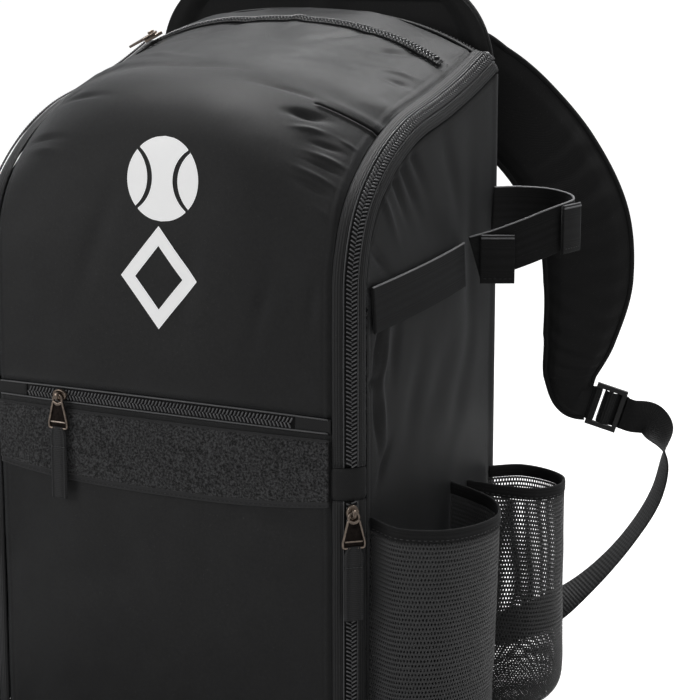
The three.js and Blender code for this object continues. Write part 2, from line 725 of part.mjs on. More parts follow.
// The right-hand shoulder strap, from the top of the back down to its adjuster. wide is a share of the
// way from the strap's top spacing to its spread, back a share of its reach behind the padded back, high
// a share of the way from its low end to its top. turn and tilt point its width, in radians from +X
// towards +Y and from level towards +Z. share is its width as a share of the full width.
const strapRows = [
  { wide: 0, back: 0.096, high: 0.87, turn: 0, tilt: 0, share: 0.9 },
  { wide: 0, back: 0.105, high: 0.935, turn: 0, tilt: 0, share: 0.93 },
  { wide: 0.04, back: 0.24, high: 0.99, turn: 0.02, tilt: 0, share: 0.97 },
  { wide: 0.175, back: 0.53, high: 1, turn: 0.1, tilt: 0, share: 1 },
  { wide: 0.38, back: 0.75, high: 0.93, turn: 0.24, tilt: 0, share: 1 },
  { wide: 0.58, back: 0.875, high: 0.815, turn: 0.38, tilt: 0, share: 1 },
  { wide: 0.8, back: 0.97, high: 0.64, turn: 0.46, tilt: 0, share: 1 },
  { wide: 0.96, back: 1, high: 0.46, turn: 0.5, tilt: 0, share: 1 },
  { wide: 1, back: 0.985, high: 0.3, turn: 0.5, tilt: 0, share: 0.95 },
  { wide: 0.96, back: 0.96, high: 0.155, turn: 0.5, tilt: 0.1, share: 0.76 },
  { wide: 0.925, back: 0.945, high: 0.068, turn: 0.5, tilt: 0.45, share: 0.55 },
  { wide: 0.97, back: 0.97, high: 0.014, turn: 0.5, tilt: 1.05, share: 0.42 },
  { wide: 1.065, back: 1.03, high: 0, turn: 0.5, tilt: 1.4, share: 0.37 },
];
const strapPoint = (row) => vec(lerp(strapTopSpacing, strapSpread, row.wide),
  backDepth + strapReach * row.back, lerp(strapLowHeight, strapTopHeight, row.high));
const strapRoute = curveOf(strapRows.map(strapPoint));
const strapTurns = curveOf(strapRows.map((row) => vec(row.turn, row.tilt, row.share)));

function strapAcross(t) {
  const { x: turn, y: tilt } = strapTurns.getPoint(t);
  return vec(Math.cos(turn) * Math.cos(tilt), Math.sin(turn) * Math.cos(tilt), Math.sin(tilt));
}

const strapSteps = 24;
const shoulderStrap = () => band(strapRoute, strapAcross, (t) => strapWidth * strapTurns.getPoint(t).z,
  strapThickness, strapSteps, softSection);

// The adjuster at the strap's low end: a flat frame with two slots for the webbing.
const strapEnd = strapRoute.getPoint(1);
const strapEndWay = strapRoute.getTangent(1).normalize();
const lockRim = 3.4;

function ladderLock() {
  const bar = lockLength / 2 - lockRim / 2;
  const rail = lockWidth / 2 - lockRim / 2;
  const frame = joined([
    boxAt(lockLength, lockRim, lockThickness, 0, -rail, 0),
    boxAt(lockLength, lockRim, lockThickness, 0, rail, 0),
    ...[-bar, 0, bar].map((x) => boxAt(lockRim, lockWidth, lockThickness, x, 0, 0)),
  ]);
  const across = strapAcross(1);
  across.addScaledVector(strapEndWay, -across.dot(strapEndWay)).normalize();
  const out = strapEndWay.clone().cross(across);
  const centre = strapEnd.clone().addScaledVector(strapEndWay, lockLength / 2 + gap);
  return frame.applyMatrix4(new THREE.Matrix4().makeBasis(strapEndWay, across, out).setPosition(centre));
}

// The webbing from the adjuster down to its anchor on the back. wide, back and high are shares of the
// ways from the anchor to the adjuster in x, y and z; twist is how far its width has turned from upright.
const webbingRows = [
  { wide: 1.26, back: 1.1, high: 0.97, twist: 0.15 },
  { wide: 1.4, back: 1.1, high: 0.84, twist: 0.5 },
  { wide: 1.38, back: 1.02, high: 0.64, twist: 0.85 },
  { wide: 1.14, back: 0.84, high: 0.4, twist: 1 },
  { wide: 0.76, back: 0.54, high: 0.17, twist: 0.8 },
  { wide: 0.4, back: 0.22, high: 0.04, twist: 0.35 },
];

function strapWebbing() {
  const start = strapEnd.clone().addScaledVector(strapEndWay, lockLength + 2 * gap + 1.2);
  const end = vec(anchorSpacing + anchorWidth / 2 + 2 * gap, backDepth + gap + anchorThickness / 2, anchorHeight);
  const points = webbingRows.map((row) => vec(lerp(end.x, start.x, row.wide),
    lerp(end.y, start.y, row.back), lerp(end.z, start.z, row.high)));
  const leaving = start.clone().addScaledVector(strapEndWay, webbingStraight);
  const arriving = end.clone().add(vec(webbingStraight, 0, 0));
  const route = curveOf([start, leaving, ...points, arriving, end]);
  const turns = [0, 0, ...webbingRows.map((row) => row.twist), 0, 0];
  const twists = curveOf(turns.map((twist, i) => vec(twist, i, 0)));
  const across = (t) => vec(0, 0, 1).lerp(vec(-0.45, 0.85, 0.3), twists.getPoint(t).x);
  return band(route, across, webbingWidth, webbingThickness, strapSteps + 2);
}

const anchorTab = () => boxAt(anchorWidth, anchorThickness, webbingWidth + 4,
  anchorSpacing, backDepth + gap + anchorThickness / 2, anchorHeight);

function haulHandle() {
  const half = handleSpacing / 2;
  const middle = backDepth - backThickness / 2;
  const foot = backHeight + gap;
  const route = curveOf([vec(-half, middle, foot), vec(-half * 0.98, middle, foot + handleRise * 0.5),
    vec(-half * 0.6, middle, foot + handleRise * 0.92), vec(0, middle, foot + handleRise),
    vec(half * 0.6, middle, foot + handleRise * 0.92), vec(half * 0.98, middle, foot + handleRise * 0.5),
    vec(half, middle, foot)]);
  return band(route, () => vec(0, 1, 0), handleWidth, handleThickness, 14);
}

// The shell
const lidColumns = 18;
const lidRows = 19;
add("back_panel", backPanel(), "padding");
add("base_panel", basePanel(), "fabric");
const lowerTop = loopStripTop + frontZipGap - gap;
const frontTopBottom = frontZipHeight + zipTapeWidth / 2 + gap;
add("front_top_panel", frontPiece(frontTopBottom, "rear", -seamHalfWidth, seamHalfWidth, lidColumns, lidRows,
  wallThickness), "fabric");
add("lower_front_panel", frontPiece(wallBottom, lowerTop, -seamHalfWidth, seamHalfWidth, 12, 6,
  wallThickness), "fabric");
add("loop_strip", frontPiece(loopStripBottom, loopStripTop, -seamHalfWidth + 1, seamHalfWidth - 1, 12, 2,
  loopStripThickness, loopStripThickness + gap, loopStripSag), "fuzz");
const panel = sidePanel();
add("side_panel_right", panel, "fabric");
add("side_panel_left", mirrored(panel), "fabric");

// Zips
const mainStations = seamStations(mainZipBottom);
zipOnEdge("main_zip", mainStations);
const lowerStations = uprightStations(wallBottom, lowerZipTop, 4);
const patchStations = uprightStations(stopPatchBottom, stopPatchBottom + stopPatchHeight, 2);
[["right", 1], ["left", -1]].forEach(([side, sign]) => {
  const place = (geometry) => (sign > 0 ? geometry : mirrored(geometry));
  add("lower_zip_tape_" + side, place(edgeBand(lowerStations, edgeMargin, quarter - edgeMargin,
    zipTapeThickness, 0, 4)), "tape");
  add("lower_zip_coil_" + side, place(edgeBand(lowerStations, coilAngle - coilHalfAngle,
    coilAngle + coilHalfAngle, coilHeight, gap + coilHeight, 2)), "coil");
  add("stop_patch_" + side, place(edgeBand(patchStations, edgeMargin, quarter - edgeMargin,
    stopPatchThickness, 0, 5)), "fabric");
  cornerSlider("lower_" + side, lowerZipTop - sliderLength / 2 - 1, sign, true);
});
cornerSlider("main", mainZipBottom + sliderLength / 2 + 1, -1, false);

const zipEnd = seamHalfWidth - frontZipEndWidth;
const tapeLow = frontZipHeight - zipTapeWidth / 2;
const tapeHigh = frontZipHeight + zipTapeWidth / 2;
add("front_zip_tape", frontPiece(tapeLow, tapeHigh, -zipEnd + gap, zipEnd - gap, 16, 1,
  zipTapeThickness), "tape");
add("front_zip_coil", frontPiece(frontZipHeight - coilWidth / 2, frontZipHeight + coilWidth / 2,
  -zipEnd + 1, zipEnd - 1, 16, 1, coilHeight, coilHeight + gap), "coil");
add("front_zip_patch_right", frontPiece(tapeLow, tapeHigh, zipEnd, seamHalfWidth, 4, 1,
  stopPatchThickness), "fabric");
add("front_zip_patch_left", frontPiece(tapeLow, tapeHigh, -seamHalfWidth, -zipEnd, 4, 1,
  stopPatchThickness), "fabric");
const frontSliderX = frontSliderFromEnd - zipEnd;
const frontSliderAt = front(frontSliderX, shareAtHeight(frontZipHeight));
frontSliderAt.y -= sliderLift;
placeSlider("front", frontSliderAt, vec(1, 0, 0), vec(0, 0, 1), vec(0, -1, 0), false, true);

// Small zip across the lid near its rear edge, lying on the lid.
function lidStrip(width, thickness, lift, half, columns) {
  const spread = width / lidLength;
  const surface = (u, v) => {
    const x = lerp(-half, half, u);
    const t = topZipAt + lerp(-0.5, 0.5, v) * spread;
    return front(x, t).add(lidNormal(x, t).multiplyScalar(lift + seatGap - gap));
  };
  return sheet(surface, columns, 1, thickness);
}
add("top_zip_tape", lidStrip(topTapeWidth, zipTapeThickness, zipTapeThickness + gap, topZipHalf, 24), "tape");
add("top_zip_coil", lidStrip(coilWidth, coilHeight, zipTapeThickness + coilHeight + 2 * gap,
  topZipHalf - 3, 24), "coil");
const topSliderX = topSliderFromEnd - topZipHalf;
const topSliderOut = lidNormal(topSliderX, topZipAt);
const topSliderAt = front(topSliderX, topZipAt)
  .addScaledVector(topSliderOut, zipTapeThickness + sliderLift + gap);
const topSliderUp = topSliderOut.clone().cross(vec(1, 0, 0)).normalize();
placeSlider("top", topSliderAt, topSliderUp.clone().cross(topSliderOut), topSliderUp, topSliderOut, false, false);

// Pockets and straps on both sides
const pocket = pocketPieces(roundPocket, sidePocketFront, sidePocketRear, sidePocketReach,
  sidePocketTop, sidePocketSag);
const sleeve = pocketPieces(roundSleeve, sleeveFront, sleeveRear, sleeveReach, sleeveTop, sleeveSag);
const sidePieces = [
  ["side_pocket", pocket.mesh, "mesh"],
  ["side_pocket_rim", pocket.rim, "binding"],
  ["tall_sleeve", sleeve.mesh, "mesh"],
  ["tall_sleeve_rim", sleeve.rim, "binding"],
  ["side_band", sideBand(), "elastic"],
  ["loop_band", loopBand(), "elastic"],
  ["front_band_tab", strapTab(frontTabAt, 5), "elastic"],
  ["rear_band_tab", strapTab(rearTabAt, 3), "elastic"],
  ["shoulder_strap", shoulderStrap(), "padding"],
  ["ladder_lock", ladderLock(), "plastic"],
  ["strap_webbing", strapWebbing(), "webbing"],
  ["strap_anchor", anchorTab(), "webbing"],
];
sidePieces.forEach(([name, geometry, look]) => {
  add(name + "_right", geometry, look);
  add(name + "_left", mirrored(geometry), look);
});
add("haul_handle", haulHandle(), "webbing");

export default bag;
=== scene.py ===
# A black day pack with a bat sleeve and a bottle pocket on each side. Sizes are in millimetres and are
# turned into metres where a mesh is made.
import math

import bmesh
import bpy
import numpy as np
from mathutils import Matrix, Vector, noise


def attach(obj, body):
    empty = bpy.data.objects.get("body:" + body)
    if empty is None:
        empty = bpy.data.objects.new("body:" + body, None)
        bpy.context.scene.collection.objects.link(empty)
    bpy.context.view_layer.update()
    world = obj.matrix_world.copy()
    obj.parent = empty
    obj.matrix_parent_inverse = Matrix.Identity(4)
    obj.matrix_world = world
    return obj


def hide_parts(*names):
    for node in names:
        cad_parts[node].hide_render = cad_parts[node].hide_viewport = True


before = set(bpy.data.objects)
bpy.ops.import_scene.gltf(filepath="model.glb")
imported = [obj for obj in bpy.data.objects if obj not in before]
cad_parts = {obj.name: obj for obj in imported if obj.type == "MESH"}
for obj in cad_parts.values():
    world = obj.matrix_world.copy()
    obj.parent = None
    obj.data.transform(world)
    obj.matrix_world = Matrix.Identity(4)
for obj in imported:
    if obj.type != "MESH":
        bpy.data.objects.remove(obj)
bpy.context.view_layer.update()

MM = 0.001
TAU = 2 * math.pi
QUARTER = math.pi / 2
SIDEWAYS, BACKWARD, FORWARD, UPWARD = (1.0, 0.0, 0.0), (0.0, 1.0, 0.0), (0.0, -1.0, 0.0), (0.0, 0.0, 1.0)

# The frame's driving sizes
seam_half_width = 134
corner_radius = 17
half_width = seam_half_width + corner_radius
front_depth = 118
back_depth = 118
back_height = 528
back_thickness = 11
gap = 0.35
seat_gap = 0.5
side_bulge = 7
wall_bottom = 3.35
lid_rear = back_depth - back_thickness - 2 * gap - corner_radius
strip_bottom = 191
strip_top = 236
front_zip_height = 245
zip_end = 108
patch_bottom = 196
patch_top = 218
coil_angle = math.pi / 4
slider_lift = 2 * gap + 2.2
hinge_height = 3.75


def lerp(a, b, share):
    return a + (b - a) * share


def ease(share):
    share = np.clip(share, 0, 1)
    return share * share * (3 - 2 * share)


class Route:
    """A smooth curve through points, followed by a share t from 0 to 1."""

    def __init__(self, points):
        p = np.array(points, float)
        self.points = np.vstack([2 * p[0] - p[1], p, 2 * p[-1] - p[-2]])
        self.spans = len(p) - 1

    def at(self, t):
        place = np.clip(np.atleast_1d(np.asarray(t, float)), 0, 1) * self.spans
        k = np.minimum(place.astype(int), self.spans - 1)
        w = (place - k)[:, None]
        p0, p1, p2, p3 = (self.points[k + i] for i in range(4))
        d0, d1, d2 = (np.sqrt(np.linalg.norm(b - a, axis=1))[:, None]
                      for a, b in ((p0, p1), (p1, p2), (p2, p3)))
        d1 = np.where(d1 < 1e-4, 1, d1)
        d0 = np.where(d0 < 1e-4, d1, d0)
        d2 = np.where(d2 < 1e-4, d1, d2)
        m1 = ((p1 - p0) / d0 - (p2 - p0) / (d0 + d1) + (p2 - p1) / d1) * d1
        m2 = ((p2 - p1) / d1 - (p3 - p1) / (d1 + d2) + (p3 - p2) / d2) * d1
        return (p1 + m1 * w + (3 * (p2 - p1) - 2 * m1 - m2) * w ** 2
                + (2 * (p1 - p2) + m1 + m2) * w ** 3)

    def way(self, t):
        t = np.atleast_1d(np.asarray(t, float))
        return unit(self.at(t + 1e-4) - self.at(t - 1e-4))

    def length(self):
        return float(np.linalg.norm(np.diff(self.at(np.linspace(0, 1, 400)), axis=0), axis=1).sum())


def unit(rows):
    return rows / np.maximum(np.linalg.norm(rows, axis=-1, keepdims=True), 1e-12)


def rows_of(*columns):
    return np.stack(np.broadcast_arrays(*columns), axis=-1).astype(float)


def each(line, way):
    """The same direction for every row of a line."""
    return np.tile(np.asarray(way, float), (len(line), 1))


def facing(way):
    """The same direction all along a route."""
    return lambda t: each(t, way)


def run_of(points):
    """The length run at each point of a line."""
    return np.concatenate([[0], np.cumsum(np.linalg.norm(np.diff(points, axis=0), axis=1))])


def at_length(s, run, rows):
    return np.stack([np.interp(s, run, rows[:, i]) for i in range(3)], axis=-1)


def line_length(points):
    return float(np.linalg.norm(np.diff(points, axis=0), axis=1).sum())


# ---- The shell's shape, as the frame has it

# Depth and height of the front's seam, then of its middle, as shares of the bag's depth and height
profile = [
    (-1, 0.0, -1, 0.0), (-1, 0.22, -1.03, 0.22), (-1, 0.44, -1.045, 0.44), (-1, 0.58, -1.04, 0.6),
    (-0.985, 0.665, -1.02, 0.72), (-0.87, 0.735, -0.955, 0.815), (-0.63, 0.79, -0.77, 0.872),
    (-0.3, 0.83, -0.44, 0.9), (0.2, 0.857, 0.1, 0.923), (0.62, 0.879, 0.6, 0.941), (1, 0.904, 1, 0.955)]


def depth_of(share):
    return share * (front_depth if share < 0 else lid_rear)


edge_line = Route([(depth_of(r[0]), r[1] * back_height) for r in profile])
middle_line = Route([(depth_of(r[2]), r[3] * back_height) for r in profile])
lid_length = middle_line.length()


def fullness(x):
    return 1 - np.minimum(np.abs(x) / seam_half_width, 1) ** 2.6


def plain_front(x, t):
    share = fullness(x)[:, None]
    point = edge_line.at(t) * (1 - share) + middle_line.at(t) * share
    return rows_of(x, point[:, 0], point[:, 1])


# x and at say where a fold's middle is, run its direction in degrees, length, width and depth its size
# as shares of the seam half width; a depth below 0 is a raised fold.
big_folds = [
    (0.72, 0.715, 18, 0.26, 0.06, 0.03), (0.8, 0.66, 28, 0.2, 0.05, 0.022),
    (0.84, 0.61, 36, 0.2, 0.05, 0.018), (0.8, 0.69, 24, 0.2, 0.045, -0.015),
    (-0.72, 0.715, -18, 0.26, 0.06, 0.03), (-0.82, 0.65, -30, 0.2, 0.05, 0.02),
    (0.1, 0.73, 2, 0.6, 0.1, 0.012), (-0.3, 0.86, 60, 0.4, 0.09, 0.014)]


def one_fold(across, up, run, length, width):
    """The share of a fold's depth that is left at a place across and up from its middle."""
    turn = math.radians(run)
    along = (across * math.cos(turn) + up * math.sin(turn)) / length
    over = (-across * math.sin(turn) + up * math.cos(turn)) / width
    return np.exp(-2 * along ** 2 - 2 * over ** 2)


def fold_depth(x, t, folds):
    depth = np.zeros_like(x)
    for at_x, at_t, run, length, width, deep in folds:
        across = x / seam_half_width - at_x
        up = (t - at_t) * lid_length / seam_half_width
        depth += deep * seam_half_width * one_fold(across, up, run, length, width)
    return depth * np.clip(1 - (np.abs(x) / seam_half_width) ** 12, 0, 1)


def share_at_height(height):
    low, high = 0.0, 0.4
    for _ in range(40):
        t = (low + high) / 2
        low, high = (t, high) if edge_line.at(t)[0, 1] < height else (low, t)
    return (low + high) / 2


def front_normal(x, t):
    across = plain_front(x + 1, t) - plain_front(x - 1, t)
    along = plain_front(x, np.minimum(t + 1e-3, 1)) - plain_front(x, np.maximum(t - 1e-3, 0))
    return unit(np.cross(across, along))


def front(x, t, folds=big_folds):
    """The face of the front and lid with its folds."""
    return plain_front(x, t) - front_normal(x, t) * fold_depth(x, t, folds)[:, None]


def rough(points, size, seed=0.0):
    """Smooth noise from -1 to 1 at each row of points, with patches of a size in mm."""
    return np.array([noise.noise(Vector(p) / size + Vector((seed, seed * 0.7, -seed))) for p in points])


# ---- Meshes

def mesh_from(bm, name):
    mesh = bpy.data.meshes.new(name)
    bm.to_mesh(mesh)
    bm.free()
    return mesh


def made_piece(name, bm, look, body="bag", replaces=(), smooth=True):
    bmesh.ops.scale(bm, vec=(MM, MM, MM), verts=bm.verts)
    return made_object(name, mesh_from(bm, name), look, body, replaces, smooth)


def made_object(name, mesh, look, body="bag", replaces=(), smooth=True):
    mesh.materials.clear()
    mesh.materials.append(look)
    mesh.polygons.foreach_set("use_smooth", [smooth] * len(mesh.polygons))
    piece = bpy.data.objects.new(name, mesh)
    bpy.context.scene.collection.objects.link(piece)
    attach(piece, body)
    if replaces:
        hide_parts(*replaces)
    return piece


def grid_mesh(surface, columns, rows, size):
    """A fine grid laid on surface(u, v); its map runs over size, in mm, and is kept in metres."""
    bm = bmesh.new()
    bmesh.ops.create_grid(bm, x_segments=columns, y_segments=rows, size=0.5)
    flat = np.array([v.co[:2] for v in bm.verts]) + 0.5
    for vert, point in zip(bm.verts, surface(flat[:, 0], flat[:, 1])):
        vert.co = point
    cloth = bm.loops.layers.uv.new("cloth")
    bm.verts.index_update()
    for face in bm.faces:
        for loop in face.loops:
            u, v = flat[loop.vert.index]
            loop[cloth].uv = (u * size[0] * MM, v * size[1] * MM)
    return bm


def cloth_piece(name, surface, columns, rows, size, look, thickness, replaces=(), body="bag", mirror=False):
    bm = grid_mesh(surface, columns, rows, size)
    turn_to_side(bm, mirror)
    piece = made_piece(name, bm, look, body, replaces)
    wall = piece.modifiers.new("thickness", "SOLIDIFY")
    wall.thickness = thickness * MM
    wall.offset = -1
    return piece


def turn_to_side(bm, mirror):
    if mirror:
        bmesh.ops.scale(bm, vec=(-1, 1, 1), verts=bm.verts)
        bmesh.ops.reverse_faces(bm, faces=bm.faces)


def close_tube(bm, fill=True):
    """Joins the first and last columns of a rolled grid and fills its open ends."""
    bmesh.ops.remove_doubles(bm, verts=bm.verts, dist=1e-3)
    ends = [e for e in bm.edges if e.is_boundary]
    if ends and fill:
        bmesh.ops.holes_fill(bm, edges=ends, sides=0)
    bmesh.ops.recalc_face_normals(bm, faces=bm.faces)


def tube_piece(name, ring, around, along, size, look, replaces=(), body="bag", mirror=False):
    """A closed form through rings: ring(u, v) with u once round and v from end to end."""
    bm = grid_mesh(ring, around, along, size)
    close_tube(bm)
    turn_to_side(bm, mirror)
    return made_piece(name, bm, look, body, replaces)


def round_section(u, half_wide, half_thick, power=3.0):
    """A flat rounded section: shares u round it give a place across and a place through it."""
    c, s = np.cos(u * TAU), np.sin(u * TAU)
    wide = np.sign(c) * np.abs(c) ** (2 / power) * half_wide
    thick = np.sign(s) * np.abs(s) ** (2 / power) * half_thick
    return wide, thick


def band_ring(route, across, width, thickness, power=3.2, swell=None):
    """The rings of a flat band on a route; across(t) is the direction of its width."""
    widths = width if callable(width) else (lambda t: np.full_like(t, width))

    def ring(u, v):
        centre, way = route.at(v), route.way(v)
        side = across(v)
        side = unit(side - way * np.sum(side * way, axis=1, keepdims=True))
        out = np.cross(way, side)
        wide, thick = round_section(u, 1, 1, power)
        deep = thick * thickness / 2 if swell is None else swell(wide, thick, v)
        return centre + side * (wide * widths(v) / 2)[:, None] + out * deep[:, None]
    return ring


def cord_ring(path, radius):
    """The rings of a round cord on a path of points; path(v) gives places and two directions across."""
    def ring(u, v):
        centre, side, out = path(v)
        return (centre + side * (np.cos(u * TAU) * radius)[:, None]
                + out * (np.sin(u * TAU) * radius)[:, None])
    return ring


def small_bar(long, wide, high, bevel):
    bm = bmesh.new()
    bmesh.ops.create_cube(bm, size=1)
    bmesh.ops.scale(bm, vec=(long, wide, high), verts=bm.verts)
    bmesh.ops.bevel(bm, geom=bm.edges[:], offset=bevel, segments=1, profile=0.5, affect="EDGES", material=-1)
    return mesh_from(bm, "bar")


def small_bead(long, wide, high):
    bm = bmesh.new()
    bmesh.ops.create_icosphere(bm, subdivisions=1, radius=0.5)
    bmesh.ops.scale(bm, vec=(long, wide, high), verts=bm.verts)
    return mesh_from(bm, "bead")


def repeated(name, unit_mesh, places, look, body="bag", replaces=(), mirror=False):
    """Copies of one small shape at places, each (point, way along, way out), as one piece."""
    bm = bmesh.new()
    for point, along, out in places:
        along, out = Vector(along).normalized(), Vector(out)
        side = out.cross(along).normalized()
        out = along.cross(side)
        turn = Matrix((along, side, out)).transposed().to_4x4()
        turn.translation = Vector(point)
        unit_mesh.transform(turn)
        bm.from_mesh(unit_mesh)
        unit_mesh.transform(turn.inverted())
    turn_to_side(bm, mirror)
    return made_piece(name, bm, look, body, replaces)


def stitch_places(points, outs, pitch=3.6, sink=0.05):
    """Even stitch places along a line of points with their outward directions."""
    run = run_of(points)
    count = max(int(run[-1] / pitch), 1)
    places = []
    for k in range(count):
        s = (k + 0.5) / count * run[-1]
        here, ahead, back = (at_length(place, run, points) for place in (s, s + 0.5, s - 0.5))
        out = unit(at_length(s, run, outs))
        places.append((here + out * sink, ahead - back, out))
    return places


# ---- Finishes

class Nodes:
    """Short ways to add nodes to a material or a group; values may be numbers or sockets."""

    def __init__(self, tree):
        self.tree = tree

    def add(self, kind, settings=None, **inputs):
        node = self.tree.nodes.new(kind)
        for key, value in (settings or {}).items():
            setattr(node, key, value)
        self.set(node, **inputs)
        return node

    def set(self, node, **inputs):
        for key, value in inputs.items():
            self.feed(node.inputs[key.replace("_", " ")], value)

    def feed(self, socket, value):
        if isinstance(value, bpy.types.NodeSocket):
            self.tree.links.new(value, socket)
        else:
            socket.default_value = value

    def sum(self, operation, a, b=0.0, c=0.0, clamp=False):
        node = self.tree.nodes.new("ShaderNodeMath")
        node.operation, node.use_clamp = operation, clamp
        for socket, value in zip(node.inputs, (a, b, c)):
            self.feed(socket, value)
        return node.outputs[0]

    def spread(self, value, low, high, to_low=0.0, to_high=1.0):
        node = self.add("ShaderNodeMapRange")
        for key, number in zip(("Value", "From Min", "From Max", "To Min", "To Max"),
                               (value, low, high, to_low, to_high)):
            self.feed(node.inputs[key], number)
        return node.outputs["Result"]

    def mix(self, share, a, b):
        node = self.add("ShaderNodeMix", {"data_type": "RGBA"})
        for socket, value in ((node.inputs[0], share), (node.inputs[6], a), (node.inputs[7], b)):
            self.feed(socket, value)
        return node.outputs[2]

    def scaled(self, color, amount):
        node = self.add("ShaderNodeVectorMath", {"operation": "SCALE"}, Scale=amount)
        self.feed(node.inputs[0], color)
        return node.outputs[0]

    def grain(self, vector, scale, detail=2.0, roughness=0.5):
        return self.add("ShaderNodeTexNoise", Vector=vector, Scale=scale, Detail=detail,
                        Roughness=roughness).outputs["Fac"]

    def place(self):
        return self.add("ShaderNodeTexCoord").outputs["Object"]

    def cloth_map(self):
        return self.add("ShaderNodeUVMap", {"uv_map": "cloth"}).outputs[0]

    def parts(self, vector):
        return self.add("ShaderNodeSeparateXYZ", Vector=vector).outputs

    def bump(self, shader, strength, distance, height):
        bumped = self.add("ShaderNodeBump", Strength=strength, Distance=distance, Height=height)
        self.set(shader, Normal=bumped.outputs[0])

    def worn(self, shader, place, color, roughness, amount=0.3, grain=0.3, lint=0.03):
        """Gives a shader one colour with its wear and lint, and returns the worn colour."""
        used = self.add("ShaderNodeGroup", {"node_tree": wear}, Place=place, Color=color, Amount=amount,
                        Grain=grain, Lint=lint).outputs
        self.set(shader, Base_Color=used["Color"],
                 Roughness=self.sum("ADD", used["Roughness"], roughness, clamp=True))
        return used["Color"]


def node_group(name, sockets_in, sockets_out, build):
    tree = bpy.data.node_groups.new(name, "ShaderNodeTree")
    for title, kind, start in sockets_in:
        socket = tree.interface.new_socket(title, in_out="INPUT", socket_type="NodeSocket" + kind)
        if start is not None:
            socket.default_value = start
    for title, kind in sockets_out:
        tree.interface.new_socket(title, in_out="OUTPUT", socket_type="NodeSocket" + kind)
    nodes = Nodes(tree)
    given = nodes.add("NodeGroupInput").outputs
    results = build(nodes, given)
    end = nodes.add("NodeGroupOutput")
    for (title, _), value in zip(sockets_out, results):
        nodes.feed(end.inputs[title], value)
    return tree


def wave(nodes, value, pitch):
    """A sine of a length in metres, from 0 to 1 with each pitch."""
    turns = nodes.sum("DIVIDE", value, pitch)
    return nodes.sum("MULTIPLY_ADD", nodes.sum("SINE", nodes.sum("MULTIPLY", turns, TAU)), 0.5, 0.5)


def build_twill(nodes, given):
    place = nodes.parts(given["Map"])
    wobble = nodes.sum("MULTIPLY", nodes.sum("SUBTRACT", nodes.grain(given["Map"], 90.0), 0.5),
                       nodes.sum("MULTIPLY", given["Pitch"], 1.2))
    slant = nodes.sum("ADD", nodes.sum("ADD", place[0], nodes.sum("MULTIPLY", place[1], 0.7)), wobble)
    rib = wave(nodes, slant, given["Pitch"])
    thread = wave(nodes, place[0], nodes.sum("MULTIPLY", given["Pitch"], 0.5))
    height = nodes.sum("MULTIPLY_ADD", thread, 0.3, rib)
    return [height, nodes.sum("MULTIPLY", height, 0.77)]


def build_ribs(nodes, given):
    place = nodes.parts(given["Map"])
    rib = wave(nodes, place[0], given["Pitch"])
    weft = wave(nodes, place[1], nodes.sum("MULTIPLY", given["Pitch"], given["Weft"]))
    height = nodes.sum("MULTIPLY_ADD", weft, 0.35, rib)
    return [height, nodes.sum("MULTIPLY", height, 0.74)]


def build_wear(nodes, given):
    broad = nodes.grain(given["Place"], 9.0, 3.0)
    fine = nodes.grain(given["Place"], 420.0, 2.0, 0.6)
    mottle = nodes.grain(given["Place"], 38.0, 3.0, 0.6)
    lint = nodes.spread(nodes.grain(given["Place"], 900.0, 1.0), 0.69, 0.76)
    tone = nodes.sum("MULTIPLY_ADD", nodes.sum("SUBTRACT", broad, 0.5), given["Amount"], 1.0)
    tone = nodes.sum("MULTIPLY_ADD", nodes.sum("SUBTRACT", mottle, 0.5), given["Amount"], tone)
    tone = nodes.sum("MULTIPLY_ADD", nodes.sum("SUBTRACT", fine, 0.5), given["Grain"], tone)
    tinted = nodes.scaled(given["Color"], tone)
    color = nodes.mix(nodes.sum("MULTIPLY", lint, given["Lint"]), tinted, (0.3, 0.3, 0.31, 1))
    rough_change = nodes.sum("MULTIPLY", nodes.sum("SUBTRACT", broad, 0.5), 0.16)
    return [color, rough_change]


twill = node_group("twill weave", [("Map", "Vector", None), ("Pitch", "Float", 0.0011)],
                   [("Height", "Float"), ("Shade", "Float")], build_twill)
ribs = node_group("woven ribs", [("Map", "Vector", None), ("Pitch", "Float", 0.001), ("Weft", "Float", 0.6)],
                  [("Height", "Float"), ("Shade", "Float")], build_ribs)
wear = node_group("use and lint", [("Place", "Vector", None), ("Color", "Color", (0.02, 0.02, 0.02, 1)),
                                   ("Amount", "Float", 0.3), ("Grain", "Float", 0.2), ("Lint", "Float", 0.1)],
                  [("Color", "Color"), ("Roughness", "Float")], build_wear)


def grey(value, tint=1.03):
    return (value, value, value * tint, 1)


def new_look(name):
    look = bpy.data.materials.new(name)
    look.use_nodes = True
    nodes = Nodes(look.node_tree)
    shader = look.node_tree.nodes["Principled BSDF"]
    return look, nodes, shader


